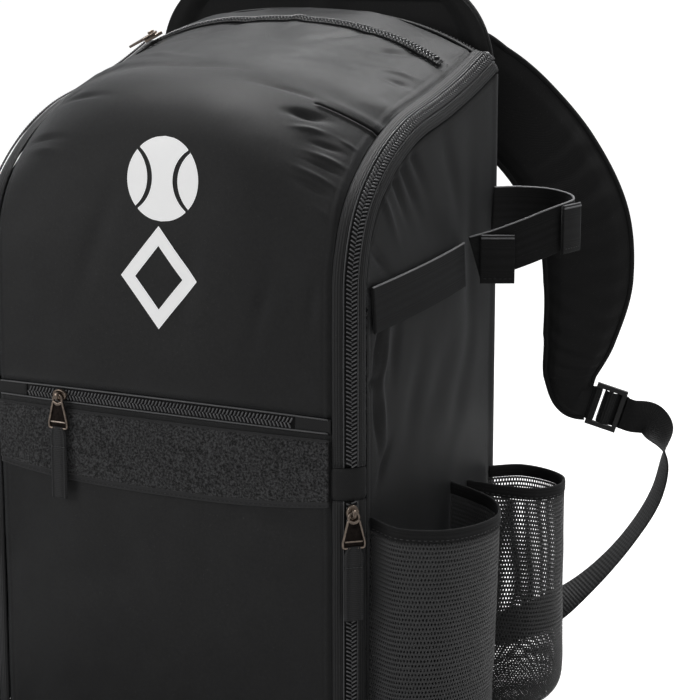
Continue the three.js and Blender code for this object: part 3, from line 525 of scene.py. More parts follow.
def woven_look(name, color, roughness, weave, pitch, depth, sheen=0.15, weft=None, shade=0.35,
               amount=0.3, grain=0.25, lint=0.06, specular=0.3, turned=False, tape_half=None):
    """Cloth: a weave on the piece's own map, uneven tone, lint and a soft sheen. With tape_half, the
    middle of the cloth is dark to that distance."""
    look, nodes, shader = new_look(name)
    cloth_map = nodes.cloth_map()
    if turned:
        cloth_map = nodes.add("ShaderNodeMapping", Vector=cloth_map, Rotation=(0, 0, QUARTER)).outputs[0]
    woven = nodes.add("ShaderNodeGroup", {"node_tree": weave}, Map=cloth_map, Pitch=pitch)
    if weft is not None:
        woven.inputs["Weft"].default_value = weft
    tone = nodes.spread(woven.outputs["Shade"], 0, 1, 1 - shade, 1 + shade)
    if tape_half:
        off_middle = nodes.sum("ABSOLUTE", nodes.sum("SUBTRACT", nodes.parts(cloth_map)[0], zip_middle))
        tone = nodes.sum("MULTIPLY", tone, nodes.spread(off_middle, tape_half - 0.0005, tape_half, 0.12, 1.0))
    used = nodes.worn(shader, nodes.place(), color, roughness, amount, grain, lint)
    nodes.set(shader, Base_Color=nodes.scaled(used, tone), Specular_IOR_Level=specular, Sheen_Weight=sheen,
              Sheen_Roughness=0.45, Sheen_Tint=(0.75, 0.77, 0.8, 1))
    nodes.bump(shader, 0.6, depth, woven.outputs["Height"])
    return look


zip_middle = 0.013
body_cloth = woven_look("body cloth", grey(0.0115), 0.52, twill, 0.0006, 0.0001, sheen=0.16, shade=0.2,
                        amount=0.6, grain=1.0)
zip_run_cloth = woven_look("zip run cloth", grey(0.017), 0.55, ribs, 0.0017, 0.0004, sheen=0.14, weft=0.5,
                           shade=0.6, tape_half=0.0048)
band_cloth = woven_look("zip band cloth", grey(0.015), 0.55, ribs, 0.0017, 0.0004, sheen=0.14, weft=0.5,
                        shade=0.6)
tape_cloth = woven_look("zip tape", grey(0.005), 0.7, ribs, 0.0009, 0.00015, sheen=0.08, weft=1.4)
patch_cloth = woven_look("patch cloth", grey(0.012), 0.62, twill, 0.0013, 0.00022, sheen=0.1)
elastic_cloth = woven_look("elastic", grey(0.008), 0.8, ribs, 0.0012, 0.0002, sheen=0.1, weft=0.55)
webbing_cloth = woven_look("webbing", grey(0.012), 0.66, ribs, 0.0017, 0.0004, sheen=0.1, weft=0.5,
                           turned=True)
tab_cloth = woven_look("pull tab ribs", grey(0.024), 0.66, ribs, 0.0013, 0.0003, sheen=0.15, weft=0.6,
                       turned=True)
strap_cloth = woven_look("strap cloth", grey(0.0075), 0.66, twill, 0.0008, 0.00012, sheen=0.08, shade=0.25,
                         grain=0.4)
rim_cloth = woven_look("rim binding", grey(0.009), 0.78, ribs, 0.0013, 0.0002, sheen=0.08, weft=0.7)
# Pale grey cord cloth: a painted highlight for the light catching the top edges of the stretch straps and the top
# folds of their tabs.
painted_highlight_cloth = woven_look("edge_cord_and_painted_highlight", grey(0.2), 0.55, ribs, 0.0011, 0.0002, sheen=0.2, weft=0.8)


def build_fuzz():
    """Loop pile: fine tufts with smooth woven edges at the top and bottom of its map."""
    look, nodes, shader = new_look("loop pile")
    place, up = nodes.place(), nodes.parts(nodes.cloth_map())[1]
    woven = nodes.sum("MAXIMUM", nodes.spread(up, 0.0034, 0.0038, 1, 0), nodes.spread(up, 0.0434, 0.0438))
    fibres = nodes.grain(place, 1900.0, 4.0, 0.75)
    clumps = nodes.grain(place, 620.0, 3.0, 0.7)
    height = nodes.sum("MULTIPLY", nodes.sum("MULTIPLY_ADD", fibres, 0.6, clumps),
                       nodes.sum("SUBTRACT", 1.0, woven))
    tone = nodes.spread(nodes.sum("MULTIPLY_ADD", fibres, 0.5, clumps), 0.64, 0.9)
    tufts = nodes.mix(tone, grey(0.003), grey(0.085))
    nodes.set(shader, Base_Color=nodes.mix(woven, tufts, grey(0.036)), Specular_IOR_Level=0.12,
              Roughness=nodes.spread(clumps, 0.2, 0.8, 0.75, 1.0), Sheen_Weight=0.1, Sheen_Roughness=0.6)
    nodes.bump(shader, 0.9, 0.001, height)
    return look


def build_mesh_look():
    """Knitted mesh: round holes on a honeycomb, cut through the cloth."""
    look, nodes, shader = new_look("pocket mesh")
    cloth_map = nodes.cloth_map()
    pitch, row_share, half_row = 0.0021, 1.732, 0.866

    def cell(shift):
        moved = nodes.add("ShaderNodeVectorMath", {"operation": "ADD"})
        nodes.feed(moved.inputs[0], cloth_map)
        moved.inputs[1].default_value = (pitch * 0.5 * shift, pitch * half_row * shift, 0)
        parts = nodes.parts(moved.outputs[0])
        across = nodes.sum("SUBTRACT", nodes.sum("FRACT", nodes.sum("DIVIDE", parts[0], pitch)), 0.5)
        up = nodes.sum("SUBTRACT", nodes.sum("FRACT", nodes.sum("DIVIDE", parts[1], pitch * row_share)), 0.5)
        up = nodes.sum("MULTIPLY", up, row_share)
        return nodes.sum("SQRT", nodes.sum("ADD", nodes.sum("MULTIPLY", across, across),
                                           nodes.sum("MULTIPLY", up, up)))
    near = nodes.sum("MINIMUM", cell(0), cell(1))
    nodes.worn(shader, nodes.place(), grey(0.036), 0.45)
    nodes.set(shader, Alpha=nodes.spread(near, 0.235, 0.295), Sheen_Weight=0.2)
    nodes.bump(shader, 0.7, 0.0004, nodes.spread(near, 0.3, 0.5))
    return look


def build_coil_look():
    look, nodes, shader = new_look("nylon coil")
    place = nodes.place()
    nodes.worn(shader, place, grey(0.11), 0.24, 0.5, 0.4, 0.05)
    nodes.bump(shader, 0.3, 0.0001, nodes.grain(place, 2500.0))
    return look


def build_metal(name, color, low, high, rubbing=1.0):
    """Cast metal with a patina, paler where edges are rubbed; low and high bound its roughness."""
    look, nodes, shader = new_look(name)
    place = nodes.place()
    patina = nodes.grain(place, 380.0, 4.0, 0.6)
    scratch = nodes.add("ShaderNodeMapping", Vector=place, Scale=(1.0, 1.0, 0.12))
    lines = nodes.grain(scratch.outputs[0], 2600.0, 2.0)
    bevel_edge = nodes.add("ShaderNodeNewGeometry").outputs["Pointiness"]
    rubbed = nodes.spread(bevel_edge, 0.52, 0.6, 0.0, rubbing)
    base = nodes.mix(nodes.spread(patina, 0.35, 0.7), (*[c * 0.35 for c in color], 1), (*color, 1))
    nodes.set(shader, Base_Color=nodes.mix(rubbed, base, (0.5, 0.42, 0.36, 1)), Metallic=1.0,
              Roughness=nodes.spread(nodes.sum("ADD", patina, lines), 0.6, 1.4, low, high))
    nodes.bump(shader, 0.25, 0.0001, lines)
    return look


def build_plastic():
    look, nodes, shader = new_look("moulded plastic")
    place = nodes.place()
    nodes.worn(shader, place, grey(0.01), 0.36, 0.3, 0.3, 0.02)
    nodes.bump(shader, 0.35, 0.0002, nodes.grain(place, 1400.0, 3.0))
    return look


def build_print_with_painted_glow():
    look, nodes, shader = new_look("white print")
    weave = nodes.add("ShaderNodeGroup", {"node_tree": twill}, Pitch=0.0011, Map=nodes.cloth_map())
    flecks = nodes.spread(nodes.grain(nodes.place(), 700.0, 3.0, 0.6), 0.3, 0.7)
    # The ink also glows faintly white (emission 0.22): painted light that makes the print brighter than the lamps
    # alone would.
    nodes.set(shader, Base_Color=nodes.mix(flecks, grey(0.88, 1.0), grey(0.96, 1.0)),
              Roughness=nodes.spread(flecks, 0, 1, 0.55, 0.42), Emission_Color=grey(1.0, 1.0),
              Emission_Strength=0.22)
    nodes.bump(shader, 0.2, 0.00006, weave.outputs["Height"])
    return look


def build_thread(name, value):
    look, nodes, shader = new_look(name)
    twist = nodes.grain(nodes.place(), 1800.0, 2.0)
    nodes.set(shader, Base_Color=nodes.mix(nodes.spread(twist, 0.3, 0.7), grey(value * 0.5), grey(value)),
              Roughness=nodes.spread(twist, 0.3, 0.7, 0.4, 0.6))
    nodes.bump(shader, 0.4, 0.0001, twist)
    return look


pile = build_fuzz()
pocket_mesh = build_mesh_look()
nylon = build_coil_look()
bronze = build_metal("antique bronze", (0.32, 0.25, 0.2), 0.22, 0.42)
bronze_ground = build_metal("bronze ground", (0.035, 0.028, 0.025), 0.5, 0.75, 0.0)
plastic = build_plastic()
white_print = build_print_with_painted_glow()
thread = build_thread("thread", 0.03)
light_thread = build_thread("light thread", 0.09)
piping_look = woven_look("piping", grey(0.07), 0.3, ribs, 0.0008, 0.0001, sheen=0.3, weft=1.0,
                         specular=0.6)


# ---- Front and lid

# The cloth's own folds, in rows as above
fine_folds = [
    # puckers at the dart and fanning from the main zip
    (0.72, 0.606, 37, 0.13, 0.05, 0.034), (0.76, 0.582, 38, 0.11, 0.026, -0.014),
    (0.86, 0.571, 37, 0.12, 0.03, 0.014), (0.89, 0.553, 27, 0.13, 0.026, -0.017),
    (0.89, 0.536, 25, 0.13, 0.022, 0.012), (0.87, 0.514, 17, 0.13, 0.026, -0.016),
    (0.86, 0.494, 20, 0.12, 0.03, 0.012), (0.93, 0.468, 6, 0.06, 0.02, -0.009),
    (0.94, 0.601, 18, 0.06, 0.02, -0.01), (0.94, 0.445, 4, 0.07, 0.024, 0.008),
    # the lid's bend and the left shoulder
    (0.55, 0.645, 12, 0.3, 0.05, 0.016), (-0.05, 0.675, 0, 0.6, 0.07, 0.014),
    (-0.72, 0.7, -14, 0.3, 0.06, 0.022), (-0.82, 0.65, -30, 0.2, 0.05, 0.02),
    (-0.36, 0.725, -17, 0.36, 0.05, -0.01), (-0.6, 0.6, -26, 0.25, 0.045, 0.014),
    (-0.75, 0.53, -36, 0.22, 0.035, 0.014), (-0.7, 0.5, -38, 0.22, 0.03, -0.01),
    # the lid
    (-0.3, 0.86, 60, 0.4, 0.09, 0.014), (0.45, 0.86, 66, 0.3, 0.06, 0.012),
    (0.74, 0.86, 60, 0.2, 0.05, 0.018), (0.1, 0.9, 84, 0.2, 0.06, -0.01),
    (0.9, 0.78, 40, 0.12, 0.035, 0.014), (0.84, 0.8, 44, 0.14, 0.03, -0.01),
    # below the print and on the lower front
    (0.2, 0.32, 80, 0.3, 0.09, 0.008), (-0.35, 0.36, 70, 0.4, 0.1, 0.009),
    (0.62, 0.31, 74, 0.24, 0.06, 0.01), (0.9, 0.33, 84, 0.2, 0.04, 0.008),
    (0.63, 0.15, -6, 0.37, 0.05, 0.012), (0.5, 0.165, -8, 0.34, 0.04, -0.009),
    (0.3, 0.12, -14, 0.5, 0.08, 0.008), (-0.4, 0.1, 12, 0.5, 0.09, 0.008)]


def drawn_to(*spots):
    """Shares that lie closer together near spots, each (place, width, weight)."""
    places = np.linspace(0, 1, 2001)
    density = 1 + sum(weight * np.exp(-((places - at) / width) ** 2) for at, width, weight in spots)
    run = np.concatenate([[0], np.cumsum((density[1:] + density[:-1]) / 2)])
    return lambda share: np.interp(share, run / run[-1], places)


def crowded(share, amount=0.85):
    """Shares that lie closer together near both ends."""
    return share - amount * np.sin(TAU * share) / TAU


def hem(distance, deep=1.3, reach=2.2):
    """How far cloth dives at a sewn edge, by the distance from it in mm, with a faint stitched groove."""
    return deep * np.exp(-(distance / reach) ** 2) + 0.22 * np.exp(-((distance - 5.5) / 1.1) ** 2)


top_at, top_half = 0.9, 126


def lid_waves(t, point):
    """The soft unevenness of the stuffed lid, none of it where the print or the small zip lies."""
    live = ease((t - 0.66) / 0.06) * ease((np.abs(t - top_at) * lid_length - 9) / 10)
    return live * (2.2 * rough(point, 48, 13) + 1.0 * rough(point, 21, 17) + 0.3 * rough(point, 9, 21))


dart_from, dart_to = (97.0, 0.6385), (135.0, 0.6585)


def dart_depth(x, t):
    """A short stitched dart: a sharp groove with the cloth lapping over its lower side."""
    start = np.array([dart_from[0], dart_from[1] * lid_length])
    end = np.array([dart_to[0], dart_to[1] * lid_length])
    way = (end - start) / np.linalg.norm(end - start)
    dx, dt = x - start[0], t * lid_length - start[1]
    along = dx * way[0] + dt * way[1]
    over = -dx * way[1] + dt * way[0]
    live = ease((along + 3) / 5)
    groove = 3.0 * np.exp(-(over / 1.25) ** 2) - 1.3 * np.exp(-((over + 3.6) / 1.8) ** 2)
    return live * (groove - 1.4 * np.exp(-((over - 8) / 6) ** 2))


upper_columns = drawn_to((0, 0.02, 5), (1, 0.02, 5), (0.85, 0.13, 2.6))
upper_rows = drawn_to((0, 0.008, 5), (1, 0.008, 5), (0.565, 0.035, 3.5), (0.46, 0.12, 1.4), (0.72, 0.12, 0.7))


def front_surface(bottom, top, left, right, hems, folds=fine_folds, waves=0.5):
    upper = top > 0.5

    def surface(u, v):
        x = lerp(left, right, upper_columns(u) if upper else crowded(u))
        share = upper_rows(v) if upper else crowded(v, 0.7)
        t = lerp(bottom, top, share)
        to_side = np.minimum(x - left, right - x)
        point = front(x, t, folds)
        depth = dart_depth(x, t) if upper else np.zeros_like(x)
        if "sides" in hems:
            depth = depth + hem(to_side)
        if "bottom" in hems:
            depth = depth + hem((t - bottom) * lid_length, 0.9, 1.6)
        if "top" in hems:
            depth = depth + hem((top - t) * lid_length, 0.9, 1.6)
        depth = depth + waves * rough(point * np.array([1, 1, 0.7]), 46, 3) + 0.3 * waves * rough(point, 15, 8)
        if upper:
            depth = depth + lid_waves(t, point)
        return point - front_normal(x, t) * depth[:, None]
    return surface


lower_top = share_at_height(strip_top + 4 - gap)
upper_bottom = share_at_height(front_zip_height + 5 + gap)
rear = 1 - 2 * gap / lid_length
cloth_piece("front_and_lid", front_surface(upper_bottom, rear, -seam_half_width, seam_half_width,
            ("sides", "bottom", "top")), 160, 220, (268, 640), body_cloth, 1.4,
            ("front_top_panel",))
cloth_piece("lower_front", front_surface(share_at_height(wall_bottom), lower_top, -seam_half_width,
            seam_half_width, ("sides",), fine_folds, 1.0), 96, 80, (268, 236), body_cloth, 1.4,
            ("lower_front_panel",))


def front_strip(bottom, top, left, right, lift, sag=0.0, profile_of=None):
    """A strip across the front between two heights, its lower edge sagging in the middle."""
    low, high = share_at_height(bottom), share_at_height(top)

    def surface(u, v):
        x = lerp(left, right, u)
        t = lerp(low, high, v)
        point = plain_front(x, t)
        point[:, 2] -= sag * (1 - v) * fullness(x)
        out = lift + (profile_of(x, v) if profile_of else 0)
        point[:, 1] -= out
        return point
    return surface


def pile_profile(x, v):
    edge = np.minimum(v, 1 - v) * (strip_top - strip_bottom)
    body = ease((edge - np.where(v < 0.5, 3.4, 1.6)) / 1.0) * 0.8
    tufts = np.array([noise.noise(Vector((a * 0.9, b * 40, 0))) for a, b in zip(x, v)]) * 0.25
    return body * (1 + tufts) - 0.5 + 0.3 * rough(rows_of(x, 0 * x, v * 45), 30, 5)


cloth_piece("loop_pile_strip", front_strip(strip_bottom, strip_top, -seam_half_width + 1, seam_half_width - 1,
            1.95, 6, pile_profile), 190, 30, (266, 45), pile, 1.0, ("loop_strip",))

# The front zip: tape, two rows of teeth, welts along the slit and cloth patches at its ends
cloth_piece("front_zip_cloth", front_strip(front_zip_height - 5, front_zip_height + 5, -zip_end + gap,
            zip_end - gap, 0.0, 0, lambda x, v: -0.3 - 0.25 * np.sin(np.pi * v)), 90, 10, (216, 10), tape_cloth,
            0.8, ("front_zip_tape",))
for side, left, right in (("right", zip_end, seam_half_width), ("left", -seam_half_width, -zip_end)):
    cloth_piece("front_patch_" + side, front_strip(front_zip_height - 5, front_zip_height + 5, left, right, 0.0, 0,
                lambda x, v: 0.5 - 0.8 * np.exp(-(np.minimum(v, 1 - v) * 10 / 1.2) ** 2)
                - 0.7 * np.exp(-((np.abs(np.abs(x) - zip_end)) / 1.0) ** 2)), 26, 16, (26, 10), patch_cloth,
                1.0, ("front_zip_patch_" + side,))

tooth = small_bar(4.0, 1.05, 1.5, 0.3)
tooth_pitch, tooth_offset, tooth_slant = 2.8, 1.75, 0.5


def teeth_between(points, ways, outs, sides):
    """Two rows of slanted teeth that meet in the middle of a line, half a pitch apart."""
    run = run_of(points)
    places = []
    for row, sign in ((0.0, 1), (0.5, -1)):
        for s in np.arange(tooth_pitch * (0.5 + row), run[-1], tooth_pitch):
            point, way, out, side = (at_length(s, run, table) for table in (points, ways, outs, sides))
            places.append((point + unit(side) * sign * tooth_offset,
                           unit(side) * sign + unit(way) * tooth_slant, out))
    return places


def front_line(height, from_x, to_x, lift, count=120):
    x = np.linspace(from_x, to_x, count)
    t = np.full_like(x, share_at_height(height))
    points = plain_front(x, t)
    points[:, 1] -= lift
    return points


def teeth_piece(name, points, outs, node, mirror=False):
    ways = np.gradient(points, axis=0)
    sides = np.cross(ways, outs)
    repeated(name, tooth, teeth_between(points, ways, outs, sides), nylon, "bag", (node,), mirror)


zip_line = front_line(front_zip_height, -zip_end + 1.5, zip_end - 1.5, gap + 0.9)
teeth_piece("front_teeth", zip_line, each(zip_line, FORWARD), "front_zip_coil")


def plain_cord(points, outs, radius):
    outs = unit(outs)
    run = np.linspace(0, 1, len(points))

    def path(v):
        centre, out = at_length(v, run, points), at_length(v, run, outs)
        side = unit(np.cross(at_length(v + 2e-3, run, points) - at_length(v - 2e-3, run, points), out))
        return centre, side, out
    return cord_ring(path, radius)


welt_away, welt_lift = 4.6, 0.5
for name, height in (("welt_upper", front_zip_height + welt_away), ("welt_lower", front_zip_height - welt_away)):
    line = front_line(height, -seam_half_width + 2, seam_half_width - 2, welt_lift)
    tube_piece("front_" + name, plain_cord(line, each(line, FORWARD), 0.62), 8, 120, (4, line_length(line)),
               piping_look)

stitch = small_bead(2.7, 0.62, 0.5)
for name, height, sag in (("top", strip_top - 1.5, 0.0), ("bottom", strip_bottom + 1.5, 5.8)):
    line = front_line(height, -seam_half_width + 3, seam_half_width - 3, 1.65)
    line[:, 2] -= sag * fullness(line[:, 0])
    repeated("loop_strip_stitches_" + name, stitch, stitch_places(line, each(line, FORWARD)), thread)


# ---- The rounded edge with the main zip

def seam_at(t):
    """Places on the front's seam at shares t, with the way out to the side and the way up."""
    at, way = edge_line.at(t), edge_line.way(t)
    return (rows_of(np.full_like(t, seam_half_width), at[:, 0], at[:, 1]), each(t, SIDEWAYS),
            rows_of(0 * t, -way[:, 1], way[:, 0]))


def round_the_corner(at, out, up, turns):
    """The seam's rows carried on round the rear corner until they face the back."""
    turn = np.linspace(0, 1, turns + 1)[1:]
    corner_up = unit(lerp(up[-1][None, :], np.array([UPWARD]), turn[:, None]))
    return (np.vstack([at, np.tile(at[-1], (turns, 1))]),
            np.vstack([out, rows_of(np.cos(turn * QUARTER), np.sin(turn * QUARTER), 0 * turn)]),
            np.vstack([up, corner_up]))


def seam_table(bottom, straight=180, turns=18, across=76):
    """Places on the seam with the way out and the way up, over the bag from one front corner to the other."""
    half = round_the_corner(*seam_at(np.linspace(share_at_height(bottom), 1, straight)), turns)
    x = np.linspace(seam_half_width, -seam_half_width, across)[1:-1]
    rear_rows = (plain_front(x, np.ones_like(x)), each(x, BACKWARD), each(x, UPWARD))
    flip = np.array([-1, 1, 1])
    return [np.vstack([a, r, (a * flip)[::-1]]) for a, r in zip(half, rear_rows)]


def upright_table(bottom, top, steps=80):
    return seam_at(np.array([share_at_height(z) for z in np.linspace(bottom, top, steps)]))


def on_edge(table, row, angle, lift):
    """A place on the rounded edge: row along the table, angle from the front seam (0) to the side."""
    at, out, up = (t[row] for t in table)
    radius, angle = np.broadcast_arrays(corner_radius + np.asarray(lift, float), angle)
    radius, angle = (np.broadcast_to(values, len(at)) for values in (radius, angle))
    return (at + up * (radius * np.cos(angle) - corner_radius)[:, None]
            + out * (radius * np.sin(angle))[:, None])


margin = math.atan(gap / corner_radius)


def zip_profile(arc):
    """The height of the zip's cloth over the rounded edge by the place across it, from 0 to 1: two bands
    of folded cloth with the tape sunk between them."""
    from_coil = np.abs(arc - 0.5) * 2
    band = ease((from_coil - 0.37) / 0.05) * ease((1.02 - from_coil) / 0.1)
    crown = 0.25 * np.sin(np.pi * np.clip((from_coil - 0.38) / 0.6, 0, 1))
    return -1.1 + band * (1.5 + crown)


def zip_surface(table, waves=0.35):
    count = len(table[0])

    def surface(u, v):
        row = np.clip(np.round(v * (count - 1)).astype(int), 0, count - 1)
        point = on_edge(table, row, lerp(margin, QUARTER - margin, u), zip_profile(u))
        return point + (table[2][row] * (waves * rough(point, 22, 4))[:, None])
    return surface, count


coil_lift = gap + 1.25
piping_arcs = (("inner", 0.315), ("outer", 0.685))


def zip_pieces(name, table, tape_node, coil_node, mirror=False):
    surface, count = zip_surface(table)
    rows = np.arange(count)
    long = line_length(on_edge(table, rows, coil_angle, 0))
    cloth_piece(name + "_cloth", surface, 36, count - 1, (26, long), zip_run_cloth, 0.7,
                (tape_node,), mirror=mirror)

    def line_with_outs(angle, lift):
        line = on_edge(table, rows, angle, lift)
        return line, unit(line - on_edge(table, rows, angle, -4))
    line, outs = line_with_outs(np.full(count, coil_angle), coil_lift)
    teeth_piece(name + "_teeth", line, outs, coil_node, mirror)
    for side, arc in piping_arcs:
        cord, outs = line_with_outs(np.full(count, lerp(margin, QUARTER - margin, arc)), 0.35)
        tube_piece(name + "_piping_" + side, plain_cord(cord, outs, 0.5), 8, count - 1, (3, long),
                   piping_look, mirror=mirror)


main_table = seam_table(patch_top + gap)
zip_pieces("main_zip_run", main_table, "main_zip_tape", "main_zip_coil")
lower_table = upright_table(wall_bottom, patch_bottom - gap)
patch_rows = 24
patch_table = upright_table(patch_bottom, patch_top, patch_rows)
for side, flip in (("right", False), ("left", True)):
    zip_pieces("lower_zip_run_" + side, lower_table, "lower_zip_tape_" + side, "lower_zip_coil_" + side, flip)

    def patch_surface(u, v):
        row = np.clip(np.round(v * (patch_rows - 1)).astype(int), 0, patch_rows - 1)
        edge = np.minimum(v, 1 - v) * (patch_top - patch_bottom)
        lift = 1.15 - 0.9 * np.exp(-(edge / 1.4) ** 2) - 1.0 * np.exp(-(np.minimum(u, 1 - u) * 26 / 1.6) ** 2)
        return on_edge(patch_table, row, lerp(margin, QUARTER - margin, u), lift)
    cloth_piece("zip_stop_" + side, patch_surface, 40, patch_rows - 1, (26, 22), patch_cloth,
                1.0, ("stop_patch_" + side,), mirror=flip)


# ---- Side panels

side_front = -front_depth + corner_radius
side_top = 0.83 * back_height


def side_face(y, z):
    """How far out the side's bulging face is, rounding in behind the lid's rear."""
    y, z = np.broadcast_arrays(np.asarray(y, float), np.asarray(z, float))
    over = np.clip(y - lid_rear, 0, corner_radius)
    corner = seam_half_width + np.sqrt(corner_radius ** 2 - over ** 2)
    along = np.clip((y - side_front) / (lid_rear - side_front), 0, 1)
    high = np.clip(z / side_top, 0, 1)
    return np.where(y > lid_rear, corner, half_width + side_bulge * np.sin(np.pi * along) * np.sin(np.pi * high))


def side_tops(straight=150, around=12):
    """The side panel's upper edge, from the front seam's bend to the back."""
    rows = seam_at(np.linspace(share_at_height(0.575 * back_height), 1, straight))
    at, out, up = round_the_corner(*rows, around)
    return at + up * (-corner_radius - gap) + out * corner_radius


tops = side_tops()
# Folds of the side: y and z of the middle, direction in degrees from +Y, length, width, depth in mm
side_folds = [
    (-62, 402, -62, 34, 5, 3.0), (-50, 408, -58, 40, 5.5, 2.8), (-74, 385, -60, 30, 4.5, -2.0),
    (-38, 418, -56, 36, 6, 2.4), (-84, 352, -40, 20, 5, 1.8), (-90, 330, -20, 18, 4, 1.6),
    (-86, 296, 72, 24, 4, 3.2), (-79, 286, 74, 28, 4, -2.2), (-88, 246, 98, 26, 4, 3.0), (-81, 250, 96, 26, 4, -2.0),
    (-66, 290, 80, 30, 8, 2.2), (-40, 255, 70, 50, 14, 1.8), (0, 262, 52, 60, 18, 1.6),
    (-80, 214, 62, 20, 4, 2.4), (-92, 272, 12, 14, 4, 2.0), (34, 250, 60, 60, 16, 1.6),
    (20, 400, -70, 50, 12, 1.2), (50, 330, 88, 80, 14, 1.6)]


def side_surface(u, v):
    place = u * (len(tops) - 1)
    k = np.minimum(place.astype(int), len(tops) - 2)
    w = (place - k)[:, None]
    top = tops[k] * (1 - w) + tops[k + 1] * w
    z = lerp(wall_bottom, top[:, 2], crowded(v, 0.5))
    flat = np.maximum(side_face(top[:, 1], z) - side_face(top[:, 1], 0 * z), 0)
    ends = np.sin(np.pi * np.clip((z - wall_bottom) / (top[:, 2] - wall_bottom), 0, 1))
    x = top[:, 0] + np.where(top[:, 1] > lid_rear, 0, np.minimum(flat, side_bulge * ends))
    y = top[:, 1]
    to_top = top[:, 2] - z
    to_front = np.where(z < 0.6 * back_height, y - side_front, 60)
    depth = hem(np.minimum(to_top, to_front), 1.2, 2.4)
    live = ease(np.minimum(to_top, to_front) / 6)
    for fy, fz, run, length, width, deep in side_folds:
        depth = depth + deep * live * one_fold(y - fy, z - fz, run, length, width)
    depth = depth + 0.45 * (1 + rough(rows_of(0 * y, y, z), 30, 11)) * live
    behind = ease((y - lid_rear) / 6)
    return rows_of(x - depth * (1 - behind), y, z)


for side, flip in (("right", False), ("left", True)):
    cloth_piece("side_cloth_" + side, side_surface, 122, 128, (236, 420), body_cloth, 1.4,
                ("side_panel_" + side,), mirror=flip)


# ---- Pockets, sleeves and their rims

round_pocket = [(0, 0), (0.42, -0.05), (0.82, 0.1), (1, 0.36), (0.98, 0.66), (0.68, 0.9), (0.3, 0.99), (0, 1)]
round_sleeve = [(0, 0), (0.4, 0.08), (0.8, 0.26), (1, 0.73), (0.93, 1.22), (0.62, 1.5), (0.28, 1.48), (0, 1)]
pocket_foot = Route([(0.04, 0), (0.5, 0), (0.88, 0.02), (0.99, 0.1), (1, 0.3), (1, 0.65), (1, 1)])
rim_high = 9
rim_thick = 2.2
pocket_floor = 6


def pocket_pieces(name, shape, start, end, reach, top, sag, side, flip):
    """A mesh pocket with a round foot, its bound rim and the rim's stitches."""
    plan = Route([(r[0] * reach, lerp(start, end, r[1])) for r in shape])

    def at(u, share, z):
        p = plan.at(u)
        y = lerp(lerp(start, end, u), p[:, 1], share)
        return rows_of(side_face(np.clip(y, start, end), z) + seat_gap + p[:, 0] * share, y, z)

    def rim_top(u):
        return top - sag * np.sin(np.pi * u)

    def net(u, v):
        f = pocket_foot.at(v)
        high = rim_top(u) - rim_high - gap
        point = at(u, f[:, 0], lerp(pocket_floor, high, f[:, 1]))
        slack = np.sin(np.pi * u) * np.sin(np.pi * v)
        ease_in = 1.1 * rough(point, 34, 2) * slack + 0.5 * np.sin(v * 9 + u * 4) * slack
        middle = np.array([half_width, (start + end) / 2])
        away = unit(point[:, :2] - middle)
        point[:, :2] += away * (ease_in - 0.6)[:, None]
        return point

    around = plan.length()
    cloth_piece(name + "_net_" + side, net, 66, 66, (around, top + 20), pocket_mesh, 0.45,
                (name + "_" + side,), mirror=flip)

    def rim_middle(v):
        centre = at(v, np.ones_like(v), rim_top(v) - rim_high / 2)
        ahead = at(np.minimum(v + 1e-3, 1), np.ones_like(v), rim_top(v) - rim_high / 2)
        back = at(np.maximum(v - 1e-3, 0), np.ones_like(v), rim_top(v) - rim_high / 2)
        way = unit((ahead - back) * np.array([1, 1, 0]))
        return centre, np.cross(way, np.array([0.0, 0.0, 1.0]))

    def rim_ring(u, v):
        centre, out = rim_middle(v)
        high, deep = round_section(u, rim_high / 2, rim_thick / 2, 3.0)
        waist = 0.35 * np.exp(-((high + rim_high / 2 - 1.8) / 0.8) ** 2) * np.sign(deep)
        return centre + out * (deep - rim_thick / 2 - waist)[:, None] + np.array([0.0, 0.0, 1.0]) * high[:, None]
    tube_piece(name + "_binding_" + side, rim_ring, 28, 120, (22, around), rim_cloth,
               (name + "_rim_" + side,), mirror=flip)
    v = np.linspace(0.01, 0.99, 200)
    centre, out = rim_middle(v)
    line = centre + out * 0.02
    line[:, 2] -= rim_high / 2 - 1.8
    repeated(name + "_rim_stitches_" + side, stitch, stitch_places(line, out, 3.9, -0.05), light_thread,
             mirror=flip)


# ---- Stretch straps on the sides, with their cloth tabs

band_wide = 31
band_thick = 1.8
band_lift = gap + band_thick / 2 + 0.6
band_meet = 52
sleeve_rear = 88
upright_way = np.array(UPWARD)
band_front, band_height, band_rise = -96, 320, 13
loop_lift, loop_climb, loop_reach = 4, 24, 62


def side_band_point(share):
    y = lerp(band_front, band_meet - 18, share)
    z = band_height + band_rise * share
    return (float(side_face(y, z)) + band_lift, y, z)


side_route = Route([side_band_point(s) for s in (0, 0.25, 0.5, 0.75, 1)])
# Rows of the loop: its reach out, its place from where the straps meet to the sleeve's rear, its climb
loop_rows = [(0.09, -0.38, 0), (0.36, -0.14, 0.22), (0.7, 0.14, 0.58), (0.97, 0.51, 0.92), (1, 0.99, 1),
             (0.83, 1.44, 1.06), (0.5, 1.7, 1.12), (0.2, 1.52, 1.16), (0.0, 0.97, 1.2)]


def loop_point(out, along, rise):
    y = lerp(band_meet, sleeve_rear, along)
    z = band_height + band_rise + loop_lift + loop_climb * rise
    x = float(side_face(np.clip(y, band_meet - 20, sleeve_rear), z)) + band_lift + loop_reach * out
    return (x, y, z)


loop_route = Route([loop_point(*row) for row in loop_rows])
level_across = facing(UPWARD)

